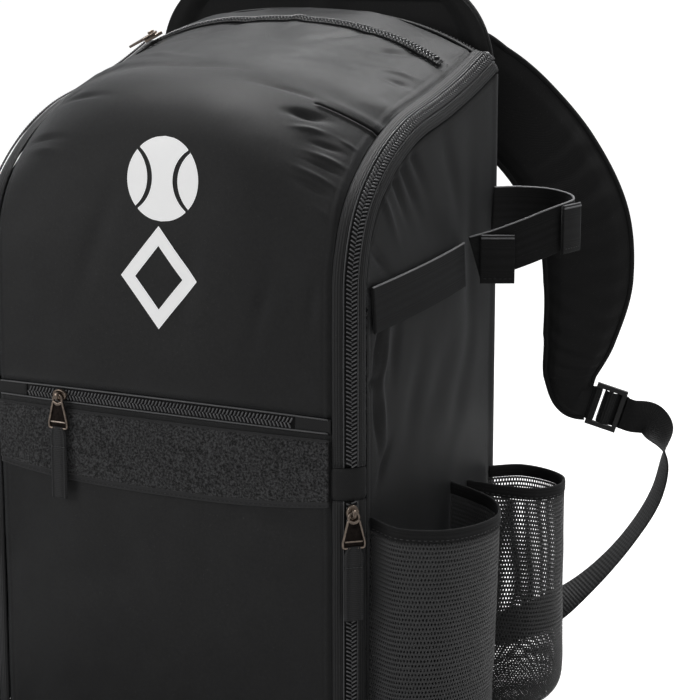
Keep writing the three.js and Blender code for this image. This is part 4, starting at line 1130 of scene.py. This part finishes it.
def band_edges(name, route, width, side, flip):
    """Round cords along both edges of a stretch strap: the upper one pale grey, a painted highlight where light from
    above catches the edge, the lower one in the strap's own dark elastic.
    """
    v = np.linspace(0.004, 0.996, 160)
    centre, way = route.at(v), route.way(v)
    across = unit(upright_way - way * (way @ upright_way)[:, None])
    # The upper cord is pale grey, a painted highlight; the lower one keeps the elastic's own dark colour.
    for edge, sign in (("upper", 1), ("lower", -1)):
        line = centre + across * (sign * (width / 2 - 0.45))
        tube_piece(name + "_selvage_" + edge + "_" + side, plain_cord(line, np.cross(way, across), 0.78), 8, 159,
                   (5, line_length(line)), painted_highlight_cloth if sign > 0 else elastic_cloth, mirror=flip)


def cloth_tab(name, t, drop, side, flip):
    """A folded tab of tape on the loop strap, with pale grey cords at its top fold, a painted highlight where light
    from above catches the fold, and a stitched foot.
    """
    centre, way = loop_route.at(t)[0], loop_route.way(t)[0]
    along = unit(way * np.array([1, 1, 0]))
    out = np.cross(along, upright_way)
    centre = centre + out * (band_thick / 2 + gap + 0.5 + 1.1)
    centre[2] -= drop

    def ring(u, v):
        high, deep = round_section(u, 17, 1.1, 5.0)
        wide = (v - 0.5) * 24
        swell = 0.35 * np.exp(-((high - 16) / 1.2) ** 2)
        bow = 0.5 * np.cos(np.pi * (v - 0.5)) - 0.25
        return (centre + along * wide[:, None] + upright_way * high[:, None]
                + out * (deep * (1 + swell) + bow)[:, None])
    tube_piece(name + "_cloth_" + side, ring, 60, 24, (72, 24), elastic_cloth,
               (name + "_" + side,), mirror=flip)
    wide = np.linspace(-11.6, 11.6, 24)
    bow = 0.5 * np.cos(np.pi * wide / 24) - 0.25
    # Both cords at the top of the tab are pale grey: a painted highlight on the fold.
    for part, high, deep in (("fold", 16.7, 0.35), ("turn", 15.0, 1.05)):
        line = centre + along * wide[:, None] + upright_way * high + out * (bow + deep)[:, None]
        tube_piece(name + "_" + part + "_" + side, plain_cord(line, np.tile(out, (24, 1)), 0.6), 8, 23, (3, 24),
                   painted_highlight_cloth, mirror=flip)
    line = centre + along * (wide * 0.9)[:, None] - upright_way * 13.5 + out * (bow + 1.08)[:, None]
    repeated(name + "_stitches_" + side, stitch, stitch_places(line, np.tile(out, (24, 1)), 3.4), thread,
             mirror=flip)


# ---- Shoulder straps, adjusters, webbing

# Rows of the strap from its top: place across, behind and up as shares, then turn, tilt and width
strap_rows = [
    (0, 0.096, 0.872, 0, 0, 0.9), (0, 0.105, 0.937, 0, 0, 0.93), (0.04, 0.24, 0.994, 0.02, 0, 0.97),
    (0.165, 0.52, 1, 0.1, 0, 1), (0.336, 0.71, 0.924, 0.24, 0, 1), (0.547, 0.86, 0.825, 0.38, 0, 1),
    (0.773, 0.96, 0.696, 0.46, 0, 1), (0.953, 1, 0.529, 0.5, 0, 1), (1, 0.985, 0.354, 0.5, 0, 0.95),
    (0.953, 0.96, 0.186, 0.5, 0.1, 0.76), (0.906, 0.945, 0.079, 0.5, 0.45, 0.55),
    (0.932, 0.97, 0.015, 0.5, 1.05, 0.42), (1.023, 1.03, 0, 0.5, 1.4, 0.37)]
strap_wide = 68
strap_thick = 13
strap_top_spacing, strap_spread = 58, 186
strap_foot, strap_top = 207, 470
strap_reach = 72
strap_route = Route([(lerp(strap_top_spacing, strap_spread, r[0]), back_depth + strap_reach * r[1],
                      lerp(strap_foot, strap_top, r[2])) for r in strap_rows])
strap_turns = Route([r[3:] for r in strap_rows])


def strap_across(t):
    turn, tilt = strap_turns.at(t)[:, 0], strap_turns.at(t)[:, 1]
    return rows_of(np.cos(turn) * np.cos(tilt), np.sin(turn) * np.cos(tilt), np.sin(tilt))


def strap_width(t):
    return strap_wide * strap_turns.at(t)[:, 2]


def strap_swell(wide, thick, v):
    """Thin bound edges round a foam middle, with ripples across the lower half."""
    inner = ease((1 - np.abs(wide)) / 0.3)
    ends = ease(v / 0.05) * ease((1 - v) / 0.07)
    ripple = 0.9 * np.sin(v * 190 + 2.5 * wide ** 2) * ease((v - 0.42) / 0.1) * ease((0.9 - v) / 0.1)
    channel = 0.8 * np.exp(-((np.abs(wide) - 0.74) / 0.05) ** 2)
    half = 1.9 + 3.9 * inner * ends + (ripple * inner - channel) * ends
    return np.sign(thick) * np.abs(thick) ** 0.6 * half


def strap_frame(t, wide_share, lift):
    """Places on a strap by their share of its half width and their lift, and the way out there."""
    centre, way = strap_route.at(t), strap_route.way(t)
    side = strap_across(t)
    side = unit(side - way * np.sum(side * way, axis=1, keepdims=True))
    out = np.cross(way, side)
    return centre + side * (wide_share * strap_width(t) / 2)[:, None] + out * lift, out


strap_end = strap_route.at(1.0)[0]
strap_end_way = strap_route.way(1.0)[0]
lock_long = 24
anchor_x, anchor_z, anchor_half_wide, anchor_half_high = 118, 40, 17, 14.5
# Rows of the webbing from the adjuster to its anchor: places as shares, then how far it has turned flat
webbing_rows = [(1.26, 1.1, 0.97, 0.15), (1.4, 1.1, 0.84, 0.5), (1.38, 1.02, 0.64, 0.85), (1.14, 0.84, 0.4, 1),
                (0.76, 0.54, 0.17, 0.8), (0.4, 0.22, 0.04, 0.35)]
web_start = strap_end + strap_end_way * (lock_long + 2 * gap + 1.2)
web_end = np.array([anchor_x + anchor_half_wide + 2 * gap, back_depth + gap + 1.5, anchor_z])
web_route = Route([web_start, web_start + strap_end_way * 7]
                  + [lerp(web_end, web_start, np.array(r[:3])) for r in webbing_rows]
                  + [web_end + np.array([7, 0, 0]), web_end])
web_twist = Route([(t, i) for i, t in enumerate([0, 0] + [r[3] for r in webbing_rows] + [0, 0])])


def web_across(t):
    twist = web_twist.at(t)[:, :1]
    return lerp(np.array([[0.0, 0.0, 1.0]]), np.array([[-0.45, 0.85, 0.3]]), twist)


def softened(name, node, look, bevel, body="bag", segments=3):
    """A copy of a frame piece with its faces merged and every sharp edge rounded."""
    bm = bmesh.new()
    bm.from_mesh(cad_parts[node].data)
    bmesh.ops.remove_doubles(bm, verts=bm.verts, dist=1e-5)
    bmesh.ops.dissolve_limit(bm, angle_limit=0.02, verts=bm.verts, edges=bm.edges)
    bmesh.ops.scale(bm, vec=(1 / MM, 1 / MM, 1 / MM), verts=bm.verts)
    piece = made_piece(name, bm, look, body, (node,), smooth=False)
    rounding = piece.modifiers.new("rounding", "BEVEL")
    rounding.width = bevel * MM
    rounding.segments = segments
    rounding.limit_method = "ANGLE"
    rounding.harden_normals = False
    return piece


def anchor_pieces(side, flip):
    wide, high = 2 * anchor_half_wide, 2 * anchor_half_high

    def face(u, v):
        x = lerp(anchor_x - anchor_half_wide, anchor_x + anchor_half_wide, u)
        z = lerp(anchor_z - anchor_half_high, anchor_z + anchor_half_high, v)
        edge = np.minimum(np.minimum(u, 1 - u) * wide, np.minimum(v, 1 - v) * high)
        return rows_of(x, back_depth + gap + 3.0 - 0.9 * np.exp(-(edge / 1.2) ** 2), z)
    bm = grid_mesh(lambda u, v: face(1 - u, v), 40, 34, (29, 34))
    turn_to_side(bm, flip)
    piece = made_piece("anchor_cloth_" + side, bm, webbing_cloth, "bag", ("strap_anchor_" + side,))
    wall = piece.modifiers.new("thickness", "SOLIDIFY")
    wall.thickness, wall.offset = 2.4 * MM, -1
    corners = [(-14, -11), (14, -11), (14, 11), (-14, 11), (-14, -11), (14, 11)]
    points = np.array([(anchor_x + x, back_depth + gap + 2.98, anchor_z + z) for x, z in corners], float)
    repeated("anchor_stitches_" + side, stitch, stitch_places(points, each(points, BACKWARD), 3.2), thread,
             mirror=flip)


# The cloth in the adjuster, as places along it and through it from its middle
lock_wraps = [
    ("strap_loop", [(-13.0, -0.5), (-12.3, -2.6), (-10.0, -3.1), (-7.9, -2.2), (-7.2, 0), (-7.9, 2.2),
                    (-10.0, 3.1), (-12.3, 2.6), (-13.0, 0.5)]),
    ("webbing_turn", [(14.2, -0.6), (12.6, -2.6), (10.0, -3.1), (7.0, -2.2), (5.0, 0), (3.2, 2.3), (0, 3.1),
                      (-2.8, 2.2), (-3.8, 0), (-4.2, -2.6)])]


def lock_webbing(side, flip):
    """The strap's loop round one bar of the adjuster and the webbing over its other bars."""
    across = strap_across(np.array([1.0]))[0]
    across = unit(across - strap_end_way * (across @ strap_end_way))
    out = np.cross(strap_end_way, across)
    centre = strap_end + strap_end_way * (lock_long / 2 + gap)
    for part, rows in lock_wraps:
        route = Route([centre + strap_end_way * x + out * z for x, z in rows])
        tube_piece("adjuster_" + part + "_" + side, band_ring(route, facing(across), 25.5, 1.4, 5.0), 24, 44,
                   (54, route.length()), webbing_cloth, mirror=flip)


# Each pocket's plan, front end, rear end, reach from the side, top and the sag of its rim
pockets = [("side_pocket", round_pocket, -98, 14, 56, 182, 7),
           ("tall_sleeve", round_sleeve, 42, sleeve_rear, 61, 176, 4)]
binding_share, stitch_share = 0.985, 0.86

for side, flip in (("right", False), ("left", True)):
    for pocket in pockets:
        pocket_pieces(*pocket, side, flip)
    tube_piece("side_elastic_" + side, band_ring(side_route, level_across, band_wide, band_thick, 5.0), 40, 60,
               (64, 132), elastic_cloth, ("side_band_" + side,), mirror=flip)
    band_edges("side_elastic", side_route, band_wide, side, flip)
    tube_piece("loop_elastic_" + side, band_ring(loop_route, level_across, band_wide, band_thick, 5.0), 40, 150,
               (64, 190), elastic_cloth, ("loop_band_" + side,), mirror=flip)
    band_edges("loop_elastic", loop_route, band_wide, side, flip)
    cloth_tab("front_band_tab", 0.11, 5, side, flip)
    cloth_tab("rear_band_tab", 0.42, 3, side, flip)
    strap = tube_piece("padded_strap_" + side, band_ring(strap_route, strap_across, strap_width, strap_thick, 2.6,
                       strap_swell), 64, 260, (140, strap_route.length()), strap_cloth,
                       ("shoulder_strap_" + side,), mirror=flip)
    t = np.linspace(0.03, 0.985, 300)
    for edge, edge_sign in (("outer", 1), ("inner", -1)):
        line, out = strap_frame(t, edge_sign * binding_share, 0)
        tube_piece("strap_binding_" + edge + "_" + side, plain_cord(line, out, 2.3), 10, 299,
                   (14, line_length(line)), rim_cloth, mirror=flip)
        for face, sign in (("front", 1), ("back", -1)):
            line, out = strap_frame(t, edge_sign * stitch_share, sign * 1.75)
            repeated("strap_stitches_" + edge + "_" + face + "_" + side, stitch,
                     stitch_places(line, out * sign, 4.0, 0.1), thread, mirror=flip)
    lock_webbing(side, flip)
    softened("adjuster_" + side, "ladder_lock_" + side, plastic, 0.9)
    tube_piece("webbing_" + side, band_ring(web_route, web_across, 25, 1.6, 5.0), 32, 160, (54, web_route.length()),
               webbing_cloth, ("strap_webbing_" + side,), mirror=flip)
    anchor_pieces(side, flip)


# ---- Padded back, base and haul handle

back_half = 141
shoulder_from = 450
quilt_levels = (120, 240, 360)


def bezier(a, b, c, d, s):
    return (1 - s) ** 3 * a + 3 * (1 - s) ** 2 * s * b + 3 * (1 - s) * s * s * c + s ** 3 * d


shoulder_s = np.linspace(0, 1, 60)
shoulder_x = bezier(back_half, back_half, back_half * 0.8, back_half * 0.45, shoulder_s)
shoulder_z = bezier(shoulder_from, back_height - (back_height - shoulder_from) * 0.3, back_height, back_height, shoulder_s)


def back_half_at(z):
    foot = np.clip((z - wall_bottom) / 14, 0, 1)
    low = back_half - 14 * (1 - np.sqrt(np.clip(1 - (1 - foot) ** 2, 0, 1)))
    return np.where(z > shoulder_from, np.interp(z, shoulder_z, shoulder_x), low)


def back_face(u, v):
    z = lerp(wall_bottom, back_height, crowded(v, 0.8))
    half = back_half_at(z)
    x = lerp(half, -half, crowded(u, 0.6))
    edge = np.minimum(np.minimum(half - np.abs(x), z - wall_bottom), (back_height - z) * 1.2)
    pad = ease((edge - 6) / 16)
    spine = np.exp(-(x / 12) ** 2)
    cross = sum(np.exp(-((z - level) / 6) ** 2) for level in quilt_levels)
    low = ease((z - 62) / 10) * ease((468 - z) / 10)
    channel = np.clip(spine + cross * ease((np.abs(x) - 8) / 10) * low, 0, 1)
    y = back_depth - 4.6 + 5.4 * pad * (1 - 0.75 * channel)
    y = y + 0.35 * rough(rows_of(x, 0 * x, z), 24, 6) * pad
    return rows_of(x, y, z)


back = cloth_piece("padded_back", back_face, 92, 116, (282, 525), strap_cloth, 6.2, ("back_panel",))


def outline_points(inset=0.0, count=60):
    side_z = np.concatenate([np.linspace(wall_bottom, wall_bottom + 14, 16),
                             np.linspace(wall_bottom + 20, shoulder_from, count)])
    right = np.stack([back_half_at(side_z) - inset, side_z], 1)
    top = np.stack([shoulder_x[1:] - inset, shoulder_z[1:]], 1)
    half = np.vstack([right, top])
    flat = np.vstack([half, half[::-1] * np.array([-1, 1])])
    height = np.clip(flat[:, 1], wall_bottom + 1.5, back_height - 1.6)
    return rows_of(flat[:, 0], np.full(len(flat), back_depth - 6.5), height)


outline = outline_points(1.6)
tube_piece("back_binding", plain_cord(outline, each(outline, BACKWARD), 3.0), 10, 260,
           (18, line_length(outline)), rim_cloth)
inner = outline_points(7)
inner[:, 1] = back_depth - 3.9
repeated("back_stitches", stitch, stitch_places(inner, each(inner, BACKWARD), 4.2), thread)


def base_face(u, v):
    y = lerp(-front_depth + 0.4, back_depth - 2.4, v)
    front_over, rear_over = corner_radius - front_depth - y, y - (back_depth - 2 - corner_radius)
    over = np.maximum(np.maximum(front_over, rear_over), 0)
    half = half_width - 0.4 - corner_radius + np.sqrt(np.clip(corner_radius ** 2 - over ** 2, 0.01, None))
    x = lerp(-half, half, u)
    edge = np.minimum(np.minimum(half - np.abs(x), y + front_depth), back_depth - 2 - y)
    return rows_of(x, y, 3.0 - 0.8 * np.exp(-(edge / 1.6) ** 2))


cloth_piece("base_cloth", base_face, 26, 26, (302, 234), body_cloth, 2.1, ("base_panel",))
handle_mid = back_depth - back_thickness / 2
handle_bow = [(-37, 528.35), (-36.3, 546.4), (-22.2, 561.5), (0, 564.35), (22.2, 561.5), (36.3, 546.4),
              (37, 528.35)]
handle_route = Route([(x, handle_mid, z) for x, z in handle_bow])
tube_piece("handle_webbing", band_ring(handle_route, facing(BACKWARD), 20, 3.6, 4.0), 32, 90,
           (48, handle_route.length()), webbing_cloth, ("haul_handle",))


# ---- Sliders, pullers and cloth tabs

front_slider_x = -76.0


def slider_places():
    """Where each slider stands: its place and its directions across, up the puller and out."""
    places = {}
    for name, height, sign in (("lower_right", patch_bottom - gap - 7, 1), ("lower_left", patch_bottom - gap - 7, -1),
                               ("main", patch_top + gap + 7, -1)):
        table = upright_table(height, height + 1, 2)
        place = on_edge(table, np.array([0]), np.array([coil_angle]), slider_lift)[0] * np.array([sign, 1, 1])
        places[name] = (place, (math.sqrt(0.5), sign * math.sqrt(0.5), 0), (0, 0, 1),
                        (sign * math.sqrt(0.5), -math.sqrt(0.5), 0))
    t = np.array([share_at_height(front_zip_height)])
    place = front(np.array([front_slider_x]), t, big_folds)[0]
    place[1] -= slider_lift
    places["front"] = (place, (1, 0, 0), (0, 0, 1), (0, -1, 0))
    return places


def in_place(bm, place, across, up, out):
    turn = Matrix((across, up, out)).transposed().to_4x4()
    turn.translation = Vector(place)
    bmesh.ops.transform(bm, matrix=turn, verts=bm.verts)


def seated(name, bm, seat, look, body="bag", replaces=()):
    """A piece drawn about a slider's own middle and moved to the slider's seat."""
    in_place(bm, *seat)
    return made_piece(name, bm, look, body, replaces)


def plate(outline_rows, low, high):
    """A flat shape drawn as an outline in x and y, given its thickness from low to high."""
    bm = bmesh.new()
    face = bm.faces.new([bm.verts.new((x, y, low)) for x, y in outline_rows])
    raised = bmesh.ops.extrude_face_region(bm, geom=[face])
    bmesh.ops.translate(bm, vec=(0, 0, high - low),
                        verts=[g for g in raised["geom"] if isinstance(g, bmesh.types.BMVert)])
    bmesh.ops.recalc_face_normals(bm, faces=bm.faces)
    return bm


def rounded(piece, width, segments=3):
    rounding = piece.modifiers.new("rounding", "BEVEL")
    rounding.width = width * MM
    rounding.segments = segments
    rounding.limit_method = "ANGLE"
    piece.data.polygons.foreach_set("use_smooth", [True] * len(piece.data.polygons))
    return piece


arch_half = [(2.9, 1.6), (2.75, 3.6), (2.0, 5.4)]
arch_route = Route([(0, y, z) for y, z in arch_half] + [(0, 0, 6.1)] + [(0, -y, z) for y, z in arch_half[::-1]])


def slider_pieces(name, seat, long, wide):
    bm = bmesh.new()
    bmesh.ops.create_cone(bm, cap_ends=True, segments=28, radius1=1, radius2=0.9, depth=2.4)
    bmesh.ops.scale(bm, vec=(wide / 2, long / 2, 1), verts=bm.verts)
    bmesh.ops.translate(bm, vec=(0, 0, 1.2), verts=bm.verts)
    rounded(seated(name + "_slider_body", bm, seat, bronze, replaces=(name + "_slider",)), 0.5)
    bm = grid_mesh(band_ring(arch_route, facing(SIDEWAYS), 2.6, 1.1, 3.0), 16, 30, (6, 12))
    close_tube(bm)
    seated(name + "_slider_arch", bm, seat, bronze)


eye_radius, eye_drop = 3.55, 2.65
plate_outline = [(-3.6, -5.2), (-7.4, -20.6), (-6.5, -22.8), (6.5, -22.8), (7.4, -20.6), (3.6, -5.2)]
frame_left = [(-3.5, -4.6), (-4.6, -7.5), (-6.2, -14), (-7.5, -20.2), (-6.9, -22.6), (-3, -22.9)]
frame_outline = ([(0, -5.6)] + frame_left + [(0, -22.9)] + [(-x, y) for x, y in frame_left[::-1]] + [(0, -5.6)])
puller_frame_route = Route([(x, y, hinge_height) for x, y in frame_outline])


def puller_eye(u, v):
    angle = v * TAU
    centre = rows_of(eye_radius * np.sin(angle), -eye_drop + eye_radius * np.cos(angle), 0 * angle + hinge_height)
    out_way = rows_of(np.sin(angle), np.cos(angle), 0 * angle)
    wide, deep = round_section(u, 0.9, 0.9, 2.4)
    return centre + out_way * wide[:, None] + upright_way * deep[:, None]


def puller_pieces(name, seat, body):
    """A trapezoid puller: a round eye at the top, a raised frame round a plain sunk plate."""
    bm = grid_mesh(puller_eye, 14, 40, (5, 22))
    close_tube(bm, fill=False)
    seated(name + "_puller_eye", bm, seat, bronze, body, (name + "_puller",))
    bm = plate(plate_outline, hinge_height - 0.55, hinge_height - 0.1)
    rounded(seated(name + "_puller_plate", bm, seat, bronze_ground, body), 0.2)
    bm = grid_mesh(band_ring(puller_frame_route, facing(UPWARD), 1.9, 1.5, 2.6), 12, 90, (5, 60))
    close_tube(bm, fill=False)
    seated(name + "_puller_frame", bm, seat, bronze, body)
    bm = bmesh.new()
    bmesh.ops.create_cube(bm, size=1)
    bmesh.ops.scale(bm, vec=(12.2, 1.1, 1.3), verts=bm.verts)
    bmesh.ops.translate(bm, vec=(0, -18.6, hinge_height - 0.05), verts=bm.verts)
    rounded(seated(name + "_puller_bar", bm, seat, bronze, body), 0.4)


tab_top, tab_end, tab_half, tab_stitch_line = -22.0, -72.4, 6.5, -36


def tab_ring(u, v):
    """A folded ribbed tape, pinched where it hangs from the puller and at its row of stitches."""
    y = lerp(tab_top, tab_end, v)
    narrow = 1 - 0.28 * np.exp(-((y - tab_top) / 3.5) ** 2)
    wide, deep = round_section(u, tab_half, 1.2, 4.0)
    ridge = 0.34 * np.cos(wide / tab_half * 5.0 * math.pi) * np.clip(np.abs(deep), 0, 1)
    bar = 0.45 * np.exp(-((y - tab_stitch_line) / 1.1) ** 2)
    return rows_of(wide * narrow, y, hinge_height + (deep - np.sign(deep) * bar) + np.sign(deep) * ridge)


def pull_tab_pieces(name, seat, body):
    bm = grid_mesh(tab_ring, 60, 76, (13, 50))
    close_tube(bm)
    seated(name + "_tab_cloth", bm, seat, tab_cloth, body, (name + "_pull_tab",))
    place, *ways = seat
    turn = Matrix(ways).transposed()
    repeated(name + "_tab_stitches", stitch,
             [(turn @ Vector((x, tab_stitch_line, hinge_height + 1.12)) + Vector(place), turn @ Vector(SIDEWAYS),
               turn @ Vector(UPWARD)) for x in np.linspace(-4.6, 4.6, 5)], light_thread, body)


for name, seat in slider_places().items():
    slider_pieces(name, seat, *((9.0, 12.0) if name == "front" else (12.0, 9.0)))
    puller_pieces(name, seat, name + "_pull")
    if name != "main":
        pull_tab_pieces(name, seat, name + "_pull")
softened("top_slider_body", "top_slider", bronze, 0.35)
softened("top_puller_plate", "top_puller", bronze, 0.4, "top_pull")


# ---- The small zip across the lid

def lid_strip(width, lift, half, profile_of=None):
    def surface(u, v):
        x = lerp(-half, half, u)
        t = top_at + (v - 0.5) * width / lid_length
        out = lift + 0.15 + (profile_of(x, v) if profile_of else 0)
        return plain_front(x, t) + front_normal(x, t) * (out - fold_depth(x, t, fine_folds))[:, None]
    return surface


def top_zip_profile(x, v):
    bands = 0.35 * ease((np.abs(v - 0.5) - 0.22) / 0.06)
    return bands - 0.5 * np.exp(-(np.minimum(v, 1 - v) * 14 / 0.8) ** 2)


cloth_piece("top_zip_cloth", lid_strip(14, 1.55, top_half, top_zip_profile), 140, 20, (252, 14), band_cloth,
            0.9, ("top_zip_tape",))
u = np.linspace(0, 1, 160)
top_line = lid_strip(1, 1.2 + gap + 0.9, top_half - 4)(u, np.full_like(u, 0.5))
teeth_piece("top_teeth", top_line, front_normal(lerp(-top_half + 4, top_half - 4, u), np.full_like(u, top_at)),
            "top_zip_coil")
for part, across_lid in (("front", -9.2), ("rear", 8.8)):
    line = lid_strip(1, 0.15, top_half + 5)(u, np.full_like(u, 0.5 + across_lid))
    outs = front_normal(line[:, 0], np.full_like(u, top_at))
    repeated("top_zip_stitches_" + part, stitch, stitch_places(line, outs, 4.4), light_thread)


# ---- The white print: a plain ball mark above a plain diamond

height_table_t = np.linspace(0.2, 0.75, 600)


def lay_print(bm):
    flat = np.array([v.co[:2] for v in bm.verts])
    cloth = bm.loops.layers.uv.new("cloth")
    centre_z = plain_front(np.zeros_like(height_table_t), height_table_t)[:, 2]
    t = np.interp(flat[:, 1], centre_z, height_table_t)
    points = print_surface(flat[:, 0], t)
    bm.verts.index_update()
    for face in bm.faces:
        for loop in face.loops:
            x, z = flat[loop.vert.index]
            loop[cloth].uv = (x * MM, z * MM)
    for vert, point in zip(bm.verts, points):
        vert.co = point


def print_surface(x, t):
    """The front's face under the print, with the same waves as the cloth, a hair outside it."""
    point = front(x, t, fine_folds)
    depth = 0.5 * rough(point * np.array([1, 1, 0.7]), 46, 3) + 0.15 * rough(point, 15, 8)
    return point - front_normal(x, t) * (depth - 0.5)[:, None]


def print_between(name, left, right, low, high, columns=24, rows=60):
    """A print whose sides are left(z) and right(z), from height low to high."""
    bm = bmesh.new()
    bmesh.ops.create_grid(bm, x_segments=columns, y_segments=rows, size=0.5)
    for vert in bm.verts:
        z = lerp(low, high, vert.co.y + 0.5)
        vert.co = (lerp(left(z), right(z), vert.co.x + 0.5), z, 0)
    bmesh.ops.remove_doubles(bm, verts=bm.verts, dist=1e-3)
    lay_print(bm)
    return made_piece(name, bm, white_print)


def diamond_print(name, centre, outer, inner, tall):
    bm = bmesh.new()
    bmesh.ops.create_grid(bm, x_segments=96, y_segments=6, size=0.5)
    for vert in bm.verts:
        angle = (vert.co.x + 0.5) * TAU
        reach = lerp(outer, inner, vert.co.y + 0.5) / (abs(math.cos(angle)) + abs(math.sin(angle)))
        vert.co = (centre[0] + reach * math.cos(angle), centre[1] + reach * tall * math.sin(angle), 0)
    bmesh.ops.remove_doubles(bm, verts=bm.verts, dist=1e-3)
    lay_print(bm)
    return made_piece(name, bm, white_print)


ball_x, ball_z, ball_radius = 7.0, 400.0, 28.0
seam_away, seam_radius, seam_bare = 34.0, 24.0, 1.9
seam_end = 21.5


def ball_side(z):
    return math.sqrt(max(ball_radius ** 2 - (z - ball_z) ** 2, 0))


def seam_x(z):
    """How far a seam of the ball is from its middle at a height."""
    return seam_away - math.sqrt(max(seam_radius ** 2 - (z - ball_z) ** 2, 0))


def middle_half(z):
    return min(ball_side(z), seam_x(z) - seam_bare)


print_between("print_ball_middle", lambda z: ball_x - middle_half(z), lambda z: ball_x + middle_half(z),
              ball_z - ball_radius, ball_z + ball_radius, 40, 70)
for side, sign in (("left", -1), ("right", 1)):
    def near(z, sign=sign):
        return ball_x + sign * min(seam_x(z) + seam_bare, ball_side(z))

    def far(z, sign=sign):
        return ball_x + sign * ball_side(z)
    bounds_of = (far, near) if sign < 0 else (near, far)
    print_between("print_ball_" + side, *bounds_of, ball_z - seam_end, ball_z + seam_end, 14, 60)
diamond_centre, diamond_outer, diamond_inner, diamond_tall = (5.0, 334.0), 30, 18.5, 1.16
diamond_print("print_diamond", diamond_centre, diamond_outer, diamond_inner, diamond_tall)


# ---- Floor, light and camera

def stage_plane(name, size, value):
    bm = bmesh.new()
    bmesh.ops.create_grid(bm, x_segments=1, y_segments=1, size=size)
    mesh = mesh_from(bm, name)
    plane = bpy.data.objects.new(name, mesh)
    bpy.context.scene.collection.objects.link(plane)
    look, nodes, shader = new_look(name)
    seen_floor = nodes.add("ShaderNodeLightPath").outputs["Is Camera Ray"]
    nodes.set(shader, Base_Color=grey(value, 1.0), Roughness=0.9, Emission_Color=(1, 1, 1, 1),
              Emission_Strength=nodes.sum("MULTIPLY", seen_floor, 0.88))
    mesh.materials.append(look)


stage_plane("floor", 40, 0.42)


def lamp(name, place, target, size, power, shape="RECTANGLE", size_y=None):
    light = bpy.data.lights.new(name, "AREA")
    light.shape, light.size, light.energy = shape, size, power
    light.size_y = size_y or size
    lamp_object = bpy.data.objects.new(name, light)
    lamp_object.location = place
    lamp_object.rotation_euler = (Vector(target) - Vector(place)).to_track_quat("-Z", "Y").to_euler()
    bpy.context.scene.collection.objects.link(lamp_object)


lamp("soft key", (-0.1, 0.75, 2.1), (0, 0, 0.4), 1.0, 52)
lamp("front fill", (-1.6, -2.2, 1.4), (0, 0, 0.3), 1.4, 20)
lamp("side strip", (1.9, -1.1, 2.0), (0.1, 0, 0.45), 0.7, 2, size_y=0.9)

world = bpy.data.worlds.new("studio")
world.use_nodes = True
bpy.context.scene.world = world
world_nodes = Nodes(world.node_tree)
soft = world.node_tree.nodes["Background"]
soft.inputs["Color"].default_value = (1, 1, 1, 1)
soft.inputs["Strength"].default_value = 0.35
bright = world_nodes.add("ShaderNodeBackground", Color=(1, 1, 1, 1), Strength=1.0)
seen = world_nodes.add("ShaderNodeLightPath").outputs["Is Camera Ray"]
shown = world_nodes.add("ShaderNodeMixShader")
world_nodes.feed(shown.inputs[0], seen)
world.node_tree.links.new(soft.outputs[0], shown.inputs[1])
world.node_tree.links.new(bright.outputs[0], shown.inputs[2])
world.node_tree.links.new(shown.outputs[0], world.node_tree.nodes["World Output"].inputs[0])
bpy.context.scene.view_settings.view_transform = "Standard"

azimuth, elevation, distance = math.radians(28.5), math.radians(11.2), 1.551
target = Vector((0.084, 0, 0.271))
away = Vector((math.sin(azimuth) * math.cos(elevation), -math.cos(azimuth) * math.cos(elevation),
               math.sin(elevation)))
picture_wide, focal_length, sensor_wide = 700, 2200, 36
camera_data = bpy.data.cameras.new("camera")
camera_data.sensor_width = sensor_wide
camera_data.lens = focal_length / picture_wide * sensor_wide
camera = bpy.data.objects.new("camera", camera_data)
camera.location = target + away * distance
camera.rotation_euler = (-away).to_track_quat("-Z", "Y").to_euler()
bpy.context.scene.collection.objects.link(camera)
bpy.context.scene.camera = camera
